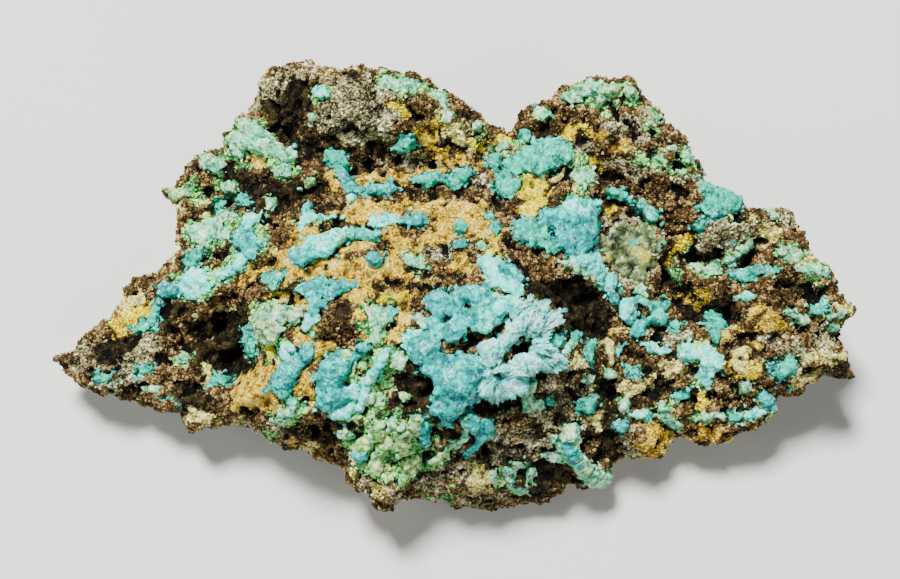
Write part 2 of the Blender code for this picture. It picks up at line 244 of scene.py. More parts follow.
# For each noise: the size in mm of its swells, and the shift that sets it apart.
noiseForm = {
    "wanderAcross": (1.6, (5.0, 1.0, 0.0)), "wanderDown": (1.6, (0.0, 8.0, 3.0)),
    "edgeWideAcross": (2.6, (3.1, 0.0, 0.0)), "edgeWideDown": (2.6, (0.0, 3.1, 9.0)),
    "edgeFineAcross": (0.9, (7.7, 0.0, 0.0)), "edgeFineDown": (0.9, (0.0, 7.7, 9.0)),
    "stain": (0.8, (6.0, 1.0, 8.0)), "fineStain": (0.35, (6.0, 3.0, 8.0)), "facing": (1.5, (4.0, 4.0, 4.0)),
    "swells": (2.4, (1.0, 2.0, 3.0)), "folds": (1.5, (7.0, 2.0, 3.0)), "cracks": (2.3, (3.0, 1.0, 2.0)),
    "swirlX": (1.3, (1.0, 4.0, 1.0)), "swirlY": (1.3, (5.0, 4.0, 1.0)), "swirlZ": (1.3, (9.0, 4.0, 1.0)),
    "crumbs": (0.95, (2.0, 2.0, 9.0)), "beads": (0.6, (8.0, 3.0, 1.0)), "ragged": (0.7, (3.0, 9.0, 1.0)),
    "lumps": (1.2, (6.0, 6.0, 1.0)), "pits": (1.5, (5.0, 5.0, 5.0)), "smallPits": (0.6, (2.0, 5.0, 2.0)),
    "nodules": (1.7, (9.0, 1.0, 6.0)), "rough": (0.42, (1.0, 9.0, 6.0)),
    "ribs": (1.0, (1.0, 2.0, 3.0)), "fineRibs": (1.0, (5.0, 2.0, 3.0)),
    "sugar": (0.38, (2.0, 7.0, 3.0)), "sugarBeads": (0.42, (1.0, 1.0, 4.0)),
    "creases": (1.2, (4.0, 4.0, 7.0)),
    "frayX": (0.55, (2.0, 6.0, 3.0)), "frayY": (0.55, (14.0, 6.0, 3.0)), "frayZ": (0.55, (26.0, 6.0, 3.0)),
    "blades": (1.0, (1.0, 3.0, 3.0)), "fineBlades": (0.45, (5.0, 1.0, 3.0)),
    "clearSugar": (0.5, (2.0, 7.0, 3.0)), "clearBeads": (0.5, (1.0, 1.0, 4.0)),
}


def layerOf(points, name, field=noiseField):
    return field(points, *noiseForm[name])


def pushOf(points, *names):
    # Several noises side by side, as the parts of a push.
    return np.stack([layerOf(points, name) for name in names], axis=1)


# Each outline is a run of places as the camera sees them: across and down in turn, in picture units. An oval
# is its middle across and down, its half sizes and its turn in degrees.

# The outline of the rock, clockwise from the left tip.
rimOutline = [
    60, 357, 75, 345, 90, 333, 105, 323, 112, 312, 120, 300, 126, 288, 138, 281, 152, 277, 165, 267,
    174, 256, 177, 240, 177, 215, 178, 203, 170, 200, 164, 192, 176, 187, 184, 180, 186, 166, 193, 157,
    203, 152, 222, 152, 226, 142, 229, 134, 236, 129, 239, 120, 248, 112, 252, 102, 258, 90, 263, 76,
    274, 69, 288, 65, 305, 62, 318, 66, 335, 70, 362, 69, 376, 72, 392, 70, 402, 73, 416, 79, 430, 85,
    446, 92, 460, 97, 468, 105, 476, 111, 481, 119, 489, 126, 500, 131, 508, 135, 515, 128, 521, 117,
    529, 108, 541, 100, 553, 102, 561, 92, 575, 86, 590, 80, 615, 80, 629, 81, 636, 89, 642, 97, 655, 111,
    666, 121, 674, 130, 684, 138, 685, 146, 692, 155, 699, 166, 700, 178, 707, 183, 720, 190, 734, 195,
    746, 203, 762, 208, 793, 210, 796, 220, 801, 229, 801, 239, 807, 247, 813, 259, 831, 270, 833, 281,
    836, 292, 846, 301, 856, 312, 846, 320, 838, 327, 836, 336, 841, 346, 849, 359, 848, 371, 844, 378,
    830, 375, 815, 380, 802, 390, 782, 393, 772, 400, 776, 409, 766, 419, 755, 425, 740, 431, 734, 438,
    720, 443, 700, 440, 682, 436, 671, 440, 666, 450, 660, 458, 645, 457, 630, 455, 616, 461, 610, 475,
    601, 485, 586, 488, 570, 482, 560, 491, 540, 500, 520, 503, 500, 505, 480, 507, 460, 503, 440, 497,
    425, 493, 410, 497, 396, 503, 384, 508, 375, 502, 371, 492, 361, 487, 350, 480, 347, 468, 338, 461,
    320, 458, 301, 448, 285, 445, 266, 436, 250, 428, 236, 425, 215, 426, 190, 428, 183, 425, 182, 412,
    160, 410, 147, 405, 130, 400, 115, 397, 100, 393, 85, 388, 75, 380, 67, 370,
]
outlineMiddle = np.array([455.0, 285.0])

# Hollows and ridges: height in mm, half width, and the line each follows.
relief = [
    (-2.4, 15, [237, 318, 240, 345, 233, 366]), (-1.3, 26, [205, 335, 228, 352]),
    (-1.4, 13, [566, 290, 588, 305, 602, 325]), (-1.0, 9, [570, 330, 596, 345]),
    (-1.9, 13, [682, 302, 708, 312, 728, 322]), (-1.6, 10, [692, 256, 720, 257]),
    (-1.3, 9, [744, 262, 760, 242]), (-1.3, 9, [668, 262, 672, 286]), (-1.5, 9, [784, 284, 808, 287]),
    (-1.2, 8, [214, 205, 232, 207]), (-0.9, 11, [285, 138, 330, 150, 385, 160, 440, 160]),
    (-0.8, 7, [506, 314, 508, 334]), (-1.5, 9, [478, 402, 505, 404]), (-1.7, 8, [516, 347, 527, 350]),
    (-1.3, 6, [496, 329, 497, 335]), (-1.2, 5, [528, 377, 534, 376]), (-1.1, 6, [262, 297, 300, 297]),
    (-0.9, 7, [606, 196, 640, 214, 662, 228]), (-0.7, 7, [148, 368, 188, 390]),
    (-0.9, 6, [276, 262, 262, 282, 240, 300]), (-0.7, 6, [345, 405, 345, 392]),
    (-0.9, 9, [385, 388, 405, 380, 420, 395]), (-0.8, 7, [290, 425, 330, 432]),
    (-0.8, 7, [585, 440, 600, 455]), (-0.6, 6, [640, 360, 620, 352]),
    (-0.9, 8, [585, 150, 600, 163, 612, 170]), (-0.8, 6, [634, 124, 634, 134]),
    (-0.8, 8, [300, 90, 300, 125]), (-0.6, 6, [500, 172, 500, 205]), (-0.7, 7, [255, 195, 290, 205]),
    (-0.6, 6, [200, 268, 238, 245]), (-0.7, 6, [736, 395, 748, 410]), (-0.7, 6, [650, 392, 690, 372]),
    (-0.6, 6, [755, 330, 780, 345]), (-0.6, 5, [358, 428, 372, 442]), (-0.5, 5, [345, 455, 360, 462]),
    (-0.8, 9, [545, 400, 560, 420]), (0.7, 17, [328, 325, 344, 315]), (0.7, 11, [415, 100, 430, 108]),
    (0.6, 7, [320, 182, 326, 186]), (0.6, 7, [486, 178, 486, 188]), (0.8, 11, [536, 122, 552, 124]),
    (0.6, 6, [540, 100, 546, 102]), (0.5, 7, [582, 116, 588, 120]), (0.6, 7, [550, 190, 558, 190]),
    (0.4, 5, [595, 188, 601, 190]), (0.5, 6, [544, 205, 548, 208]), (0.9, 16, [640, 438, 650, 444]),
    (0.5, 7, [150, 336, 146, 364]), (0.7, 9, [704, 234, 726, 224, 752, 220]),
    (0.6, 8, [764, 222, 764, 240]), (0.7, 8, [780, 254, 806, 262, 830, 274]),
    (0.8, 15, [724, 332, 752, 318, 786, 300]), (0.7, 9, [786, 346, 812, 352, 842, 362]),
    (0.7, 11, [732, 366, 756, 362]), (0.5, 6, [262, 300, 300, 260, 350, 228, 420, 236, 470, 252]),
    (0.5, 5, [190, 300, 230, 288, 268, 272, 300, 250]), (0.4, 4, [200, 312, 245, 302, 262, 290]),
    (0.5, 6, [84, 340, 120, 336]), (0.5, 6, [100, 386, 132, 384]), (0.4, 7, [250, 400, 276, 372]),
    (0.5, 8, [360, 476, 384, 500]), (0.6, 9, [480, 478, 484, 482]), (0.5, 7, [520, 476, 524, 478]),
    (0.5, 10, [560, 440, 600, 480]), (0.4, 9, [210, 160, 216, 160]), (0.4, 6, [330, 98, 372, 92]),
    (0.5, 8, [590, 92, 622, 96]), (0.5, 8, [648, 118, 664, 150, 690, 170]),
]

# What the rock's surface is made of, in painting order. The last shape over a place wins.
# The dark shapes lie partly on dark stone and partly on deep hollows, where they are painted shade.
paint = [
    ("tan", [262, 300, 285, 262, 310, 215, 350, 200, 400, 205, 440, 198, 480, 205, 512, 240, 480, 262,
        452, 286, 420, 292, 408, 318, 400, 345, 352, 352, 318, 352, 298, 345]),
    ("tan", [225, 372, 255, 354, 280, 346, 300, 350, 318, 356, 316, 400, 300, 425, 262, 410, 228, 408]),
    ("tan", [320, 172, 345, 180, 400, 175, 440, 168, 450, 180, 420, 190, 360, 192, 320, 190]),
    ("tan", [420, 118, 450, 112, 475, 130, 490, 150, 485, 168, 450, 168, 420, 150, 404, 128]),
    ("brown", [560, 92, 600, 100, 645, 110, 665, 150, 690, 165, 706, 190, 690, 220, 655, 200, 610, 175,
        580, 160, 560, 130]),
    ("grey", [575, 105, 610, 108, 650, 118, 660, 150, 640, 178, 600, 172, 580, 158, 572, 130]),
    ("tan", (596, 132, 15, 8, 20)), ("tan", (626, 146, 13, 9, -20)), ("mint", (646, 158, 17, 8, 15)),
    ("mint", (606, 112, 14, 5, 10)),
    ("brown", [660, 200, 700, 200, 720, 240, 700, 290, 668, 296, 640, 280, 650, 230]),
    ("dark", [520, 262, 560, 270, 600, 285, 612, 320, 600, 350, 575, 345, 560, 330, 545, 300, 525, 290]),
    ("brown", [500, 235, 535, 245, 565, 262, 560, 280, 530, 275, 505, 262]),
    ("brown", [720, 280, 810, 280, 822, 310, 790, 345, 745, 355, 715, 345, 705, 330, 730, 315]),
    ("tan", [722, 350, 726, 325, 755, 305, 782, 302, 785, 330, 765, 352, 740, 356]),
    ("brown", (748, 322, 22, 5, -20)), ("brown", (766, 338, 20, 5, -20)), ("brown", (742, 342, 12, 4, -20)),
    ("grey", [688, 232, 710, 216, 745, 210, 756, 222, 750, 248, 722, 250, 700, 246]),
    ("cream", (764, 230, 11, 17, 10)), ("grey", (786, 222, 16, 9, 20)), ("brown", (794, 232, 9, 8, 40)),
    ("cream", (806, 264, 30, 9, 28)), ("mint", (786, 252, 15, 9, 20)), ("mint", (820, 270, 14, 6, 20)),
    ("dark", (795, 286, 18, 8, 5)), ("dark", (706, 257, 20, 8, -5)), ("dark", (704, 310, 28, 15, 15)),
    ("tan", (690, 294, 16, 7, -10)), ("teal", (738, 250, 14, 14, 60)), ("grey", (738, 238, 12, 8, 0)),
    ("grey", [764, 340, 785, 334, 812, 344, 818, 360, 800, 366, 775, 355]),
    ("cream", (826, 358, 22, 9, 20)), ("dark", (834, 371, 14, 6, 5)), ("grey", (825, 340, 15, 9, 0)),
    ("teal", (824, 308, 15, 12, 20)), ("cream", (848, 307, 10, 6, 25)), ("mint", (835, 326, 9, 6, 0)),
    ("yellow", (744, 363, 20, 12, 10)), ("cream", (740, 358, 12, 7, 10)), ("teal", (783, 373, 14, 12, -60)),
    ("cream", (804, 378, 14, 8, 10)), ("brown", [716, 374, 765, 378, 762, 410, 735, 424, 715, 405]),
    ("mint", (745, 386, 9, 6, 0)), ("cream", (752, 415, 17, 6, -15)), ("teal", (735, 416, 10, 5, -20)),
    ("mint", [660, 402, 700, 396, 716, 405, 712, 425, 690, 432, 668, 425]),
    ("yellow", (704, 402, 11, 11, 30)), ("brown", (680, 410, 12, 6, -15)), ("tan", (702, 435, 24, 7, -8)),
    ("brown", (702, 428, 16, 5, -8)), ("grey", [636, 328, 690, 330, 706, 345, 670, 356, 640, 345]),
    ("tan", (682, 368, 18, 9, 20)), ("dark", (664, 386, 13, 9, -20)), ("brown", (690, 360, 10, 7, 0)),
    ("cream", (608, 352, 9, 12, 20)), ("tan", (617, 334, 9, 5, 10)), ("dark", (599, 364, 5, 9, 0)),
    ("dark", (628, 352, 8, 5, 20)), ("cream", (671, 366, 9, 12, -20)), ("grey", (697, 376, 8, 10, 0)),
    ("brown", (685, 366, 5, 6, 0)), ("teal", (634, 371, 8, 5, 0)), ("dark", (648, 368, 8, 4, 10)),
    ("dark", [470, 385, 510, 375, 545, 380, 610, 372, 640, 380, 650, 405, 620, 420, 612, 455, 585, 470,
        540, 498, 470, 500, 450, 470, 478, 430]),
    ("grey", [500, 412, 540, 400, 566, 396, 578, 430, 555, 440, 535, 462, 505, 462, 488, 450]),
    ("dark", (540, 428, 12, 7, 20)), ("brown", (516, 424, 12, 8, -30)), ("dark", (506, 446, 11, 6, 10)),
    ("grey", (470, 470, 22, 18, 0)), ("grey", (548, 385, 18, 8, 0)), ("grey", (590, 395, 10, 12, 0)),
    ("grey", (570, 366, 16, 8, -20)), ("cream", (577, 362, 8, 7, 0)), ("cream", (594, 416, 14, 6, -20)),
    ("dark", (606, 398, 9, 7, 0)), ("teal", (624, 404, 8, 10, 10)), ("cream", (642, 424, 12, 5, -10)),
    ("cream", (598, 427, 8, 6, 0)), ("cream", (636, 386, 18, 9, -10)), ("cream", (480, 480, 17, 19, 0)),
    ("tan", (644, 440, 23, 19, -20)), ("grey", (634, 442, 10, 12, 0)), ("brown", (646, 436, 8, 6, 0)),
    ("dark", (590, 448, 10, 18, -20)), ("brown", (596, 440, 8, 10, 0)), ("grey", (500, 502, 60, 7, 0)),
    ("brown", (520, 500, 30, 4, 0)), ("mint", (438, 493, 26, 6, 8)),
    ("dark", [375, 352, 405, 345, 425, 360, 436, 392, 432, 412, 448, 430, 440, 452, 415, 448, 400, 425,
        380, 418, 392, 395]),
    ("dark", [262, 420, 300, 408, 345, 418, 362, 430, 345, 445, 300, 445, 262, 435]),
    ("brown", (320, 425, 20, 9, 0)), ("tan", (300, 445, 9, 6, 0)), ("cream", (308, 444, 8, 5, 0)),
    ("cream", (362, 476, 13, 13, 0)), ("brown", (386, 494, 20, 13, 10)), ("grey", (372, 486, 16, 12, 40)),
    ("cream", (388, 492, 12, 8, 10)), ("grey", (396, 497, 9, 7, 0)),
    ("grey", [410, 462, 455, 452, 462, 472, 440, 488, 410, 488]), ("dark", (425, 470, 15, 7, 0)),
    ("mint", [345, 440, 370, 425, 400, 415, 432, 412, 442, 440, 432, 465, 400, 480, 365, 478]),
    ("dark", (380, 440, 6, 12, 30)), ("yellow", (403, 434, 9, 9, 0)), ("dark", (395, 462, 7, 4, 0)),
    ("grey", [64, 360, 82, 342, 110, 330, 140, 340, 160, 345, 155, 380, 138, 392, 95, 388]),
    ("dark", (110, 350, 27, 12, -18)), ("grey", (149, 352, 9, 16, 10)), ("teal", (104, 378, 13, 5, -5)),
    ("yellow", (131, 318, 19, 13, -30)), ("cream", (130, 300, 12, 10, -50)),
    ("teal", (145, 326, 8, 5, -20)), ("teal", (156, 312, 6, 9, 10)),
    ("dark", [160, 300, 195, 302, 255, 298, 256, 365, 232, 386, 185, 385, 158, 372, 160, 330]),
    ("brown", [190, 310, 205, 290, 240, 276, 268, 285, 262, 300, 225, 305, 200, 325]),
    ("brown", (178, 345, 12, 24, 20)), ("brown", (190, 372, 30, 7, 8)), ("cream", (226, 309, 8, 5, 10)),
    ("cream", (199, 320, 7, 3, 0)), ("mint", (184, 358, 8, 7, 0)), ("teal", (145, 370, 9, 4, -15)),
    ("cream", (206, 372, 7, 8, 30)), ("teal", (222, 380, 11, 5, -5)), ("grey", (120, 388, 30, 6, 8)),
    ("mint", (153, 389, 8, 5, 0)), ("teal", (170, 395, 15, 9, 10)), ("brown", (160, 400, 12, 6, 10)),
    ("cream", (200, 419, 18, 9, 3)), ("cream", (240, 424, 8, 5, 0)), ("dark", (195, 396, 24, 8, 20)),
    ("brown", (231, 398, 9, 13, 0)), ("grey", (262, 430, 15, 5, 10)),
    ("brown", [180, 160, 205, 152, 240, 165, 300, 170, 300, 215, 262, 232, 220, 245, 180, 240]),
    ("dark", [235, 170, 262, 178, 300, 168, 312, 190, 290, 214, 262, 222, 240, 205, 222, 195]),
    ("mint", [240, 118, 262, 118, 300, 150, 302, 166, 285, 176, 262, 166, 240, 172, 228, 150]),
    ("tan", (252, 158, 9, 7, 0)), ("mint", (214, 162, 14, 12, 10)), ("cream", (210, 166, 8, 6, 0)),
    ("dark", (231, 168, 6, 9, 0)), ("dark", (194, 172, 7, 9, 0)), ("mint", (196, 197, 17, 7, 0)),
    ("mint", (228, 190, 12, 12, 40)), ("teal", (220, 204, 12, 8, 0)), ("dark", (208, 214, 14, 7, 30)),
    ("cream", (174, 232, 5, 26, 0)), ("mint", (180, 192, 14, 7, 0)), ("cream", (200, 262, 6, 10, 0)),
    ("mint", [185, 228, 205, 218, 240, 214, 268, 228, 272, 245, 250, 262, 222, 268, 190, 262]),
    ("brown", (218, 256, 19, 7, -38)), ("dark", (228, 252, 9, 4, -38)), ("brown", (276, 240, 10, 12, 30)),
    ("mint", [158, 290, 175, 268, 205, 268, 235, 258, 248, 266, 222, 284, 200, 300, 170, 300]),
    ("brown", (168, 284, 8, 5, 30)),
    ("tan", [240, 262, 275, 250, 300, 225, 308, 240, 290, 262, 262, 285, 238, 290]),
    ("brown", (262, 265, 15, 6, -20)), ("dark", (292, 285, 13, 7, -40)), ("dark", (282, 296, 14, 4, 10)),
    ("tan", (290, 300, 20, 4, 0)),
    ("dark", [262, 84, 300, 78, 322, 74, 332, 92, 318, 108, 306, 128, 300, 142, 270, 134, 268, 108]),
    ("grey", [250, 104, 262, 76, 290, 64, 318, 66, 316, 76, 290, 80, 270, 96, 262, 112]),
    ("dark", [266, 130, 305, 140, 345, 146, 388, 150, 402, 158, 396, 172, 350, 168, 310, 162, 276, 154]),
    ("grey", [318, 88, 345, 76, 378, 76, 400, 92, 404, 118, 388, 142, 358, 146, 334, 134, 312, 128]),
    ("cream", (345, 72, 24, 4, 0)), ("mint", (322, 92, 8, 8, 20)), ("brown", (368, 158, 13, 7, 0)),
    ("dark", (352, 78, 6, 4, 0)), ("dark", (374, 80, 5, 4, 0)), ("brown", (396, 128, 12, 9, 0)),
    ("tan", (402, 104, 9, 11, 0)), ("yellow", (400, 106, 6, 7, 0)),
    ("mint", [376, 76, 392, 72, 412, 78, 440, 88, 450, 100, 446, 120, 438, 112, 430, 96, 410, 90, 400, 96,
        384, 88]), ("brown", (400, 75, 10, 5, 20)), ("brown", (426, 105, 16, 12, 20)),
    ("brown", (454, 102, 6, 9, 0)), ("yellow", (446, 118, 5, 5, 0)), ("dark", (470, 112, 9, 10, 40)),
    ("cream", (460, 130, 12, 6, 0)), ("cream", (460, 140, 17, 10, 10)), ("dark", (444, 143, 8, 5, 20)),
    ("brown", (464, 156, 13, 5, 20)), ("mint", (478, 128, 5, 7, 0)), ("yellow", (482, 141, 13, 6, 10)),
    ("grey", (400, 165, 25, 7, 0)), ("grey", (478, 180, 12, 10, 0)), ("brown", (488, 182, 8, 14, 0)),
    ("dark", (500, 205, 12, 6, 20)), ("dark", (322, 184, 9, 7, 0)), ("dark", (330, 208, 21, 5, -5)),
    ("brown", (318, 198, 9, 6, 0)), ("dark", (338, 224, 33, 5, 5)), ("brown", (358, 250, 28, 5, -5)),
    ("brown", (412, 232, 21, 8, 0)), ("dark", (420, 191, 20, 4, 0)), ("brown", (420, 262, 22, 10, 0)),
    ("brown", (470, 250, 24, 9, 30)), ("grey", (440, 252, 16, 8, 0)), ("brown", (395, 290, 22, 8, 10)),
    ("yellow", (385, 300, 16, 7, 0)), ("yellow", (495, 252, 13, 7, 20)), ("mint", (415, 262, 16, 9, 20)),
    ("cream", (425, 280, 15, 6, 0)), ("brown", (336, 322, 24, 22, -30)), ("dark", (346, 312, 8, 12, 20)),
    ("brown", (446, 275, 12, 8, 0)), ("mint", (372, 322, 16, 20, 0)), ("yellow", (366, 318, 8, 8, 0)),
    ("tan", (330, 350, 20, 8, 0)),
    ("mint", [253, 304, 300, 302, 300, 325, 285, 340, 296, 350, 262, 354, 246, 350]),
    ("brown", (290, 330, 9, 6, 30)), ("yellow", (266, 344, 8, 5, 0)),
    ("mint", [325, 362, 362, 352, 400, 345, 402, 372, 385, 400, 378, 425, 345, 425]),
    ("dark", (362, 372, 8, 5, 10)), ("dark", (366, 394, 10, 6, -30)),
    ("mint", [262, 430, 278, 405, 300, 396, 306, 408, 288, 425, 274, 436]), ("tan", (300, 385, 12, 16, 30)),
    ("mint", [492, 140, 560, 130, 595, 160, 598, 195, 560, 200, 545, 172, 520, 165, 505, 200, 492, 190]),
    ("yellow", (504, 140, 10, 8, 10)), ("yellow", (512, 150, 8, 5, 0)), ("cream", (572, 180, 22, 12, 10)),
    ("brown", (556, 191, 9, 8, 0)), ("brown", (549, 209, 6, 6, 0)),
    ("yellow", [517, 168, 533, 164, 549, 180, 548, 207, 535, 220, 518, 208]),
    ("mint", (585, 172, 14, 10, 0)), ("brown", (541, 128, 22, 12, -10)), ("dark", (545, 126, 15, 8, 0)),
    ("brown", (543, 101, 7, 6, 0)), ("brown", (560, 100, 8, 9, 0)), ("mint", (541, 113, 11, 6, 0)),
    ("yellow", (566, 134, 14, 8, 0)),
    ("mint", [566, 92, 590, 82, 628, 82, 645, 102, 640, 108, 610, 104, 582, 108]),
    ("brown", (585, 117, 9, 8, 0)), ("brown", (614, 150, 12, 9, 20)), ("brown", (605, 160, 7, 6, 0)),
    ("dark", (634, 129, 5, 4, 0)), ("dark", (602, 162, 4, 4, 0)), ("yellow", (600, 172, 8, 6, 0)),
    ("grey", [643, 108, 662, 118, 680, 140, 698, 168, 702, 184, 680, 180, 650, 172, 640, 180, 648, 150,
        652, 130]), ("mint", (654, 126, 8, 12, -20)), ("cream", (668, 150, 8, 6, 30)),
    ("mint", (660, 162, 14, 6, 25)), ("brown", (650, 146, 6, 5, 0)), ("mint", (688, 158, 8, 12, -30)),
    ("brown", (672, 136, 10, 12, 30)), ("dark", (678, 163, 6, 5, 0)), ("brown", (700, 184, 8, 5, 20)),
    ("brown", (640, 188, 22, 8, 20)), ("dark", (602, 190, 10, 10, 0)), ("grey", (690, 178, 14, 6, 10)),
    ("grey", [598, 215, 640, 214, 665, 235, 662, 275, 640, 292, 612, 290, 600, 262]),
    ("dark", (618, 208, 12, 7, 20)), ("dark", (614, 234, 9, 8, 0)), ("dark", (650, 222, 14, 6, 20)),
    ("yellow", (608, 213, 9, 6, 0)), ("yellow", (640, 256, 12, 11, 0)),
    ("dark", [664, 262, 690, 258, 690, 292, 668, 296, 655, 285]), ("yellow", (682, 248, 9, 22, 38)),
    ("mint", (690, 250, 5, 8, 30)), ("mint", (678, 272, 6, 10, 0)),
    ("mint", [700, 186, 725, 192, 748, 204, 742, 216, 716, 222, 700, 212]),
    ("mint", (706, 270, 15, 5, -10)),
    ("mint", [672, 345, 700, 340, 717, 350, 715, 385, 700, 392, 685, 375, 672, 362]),
    ("grey", (690, 366, 8, 8, 0)),
]

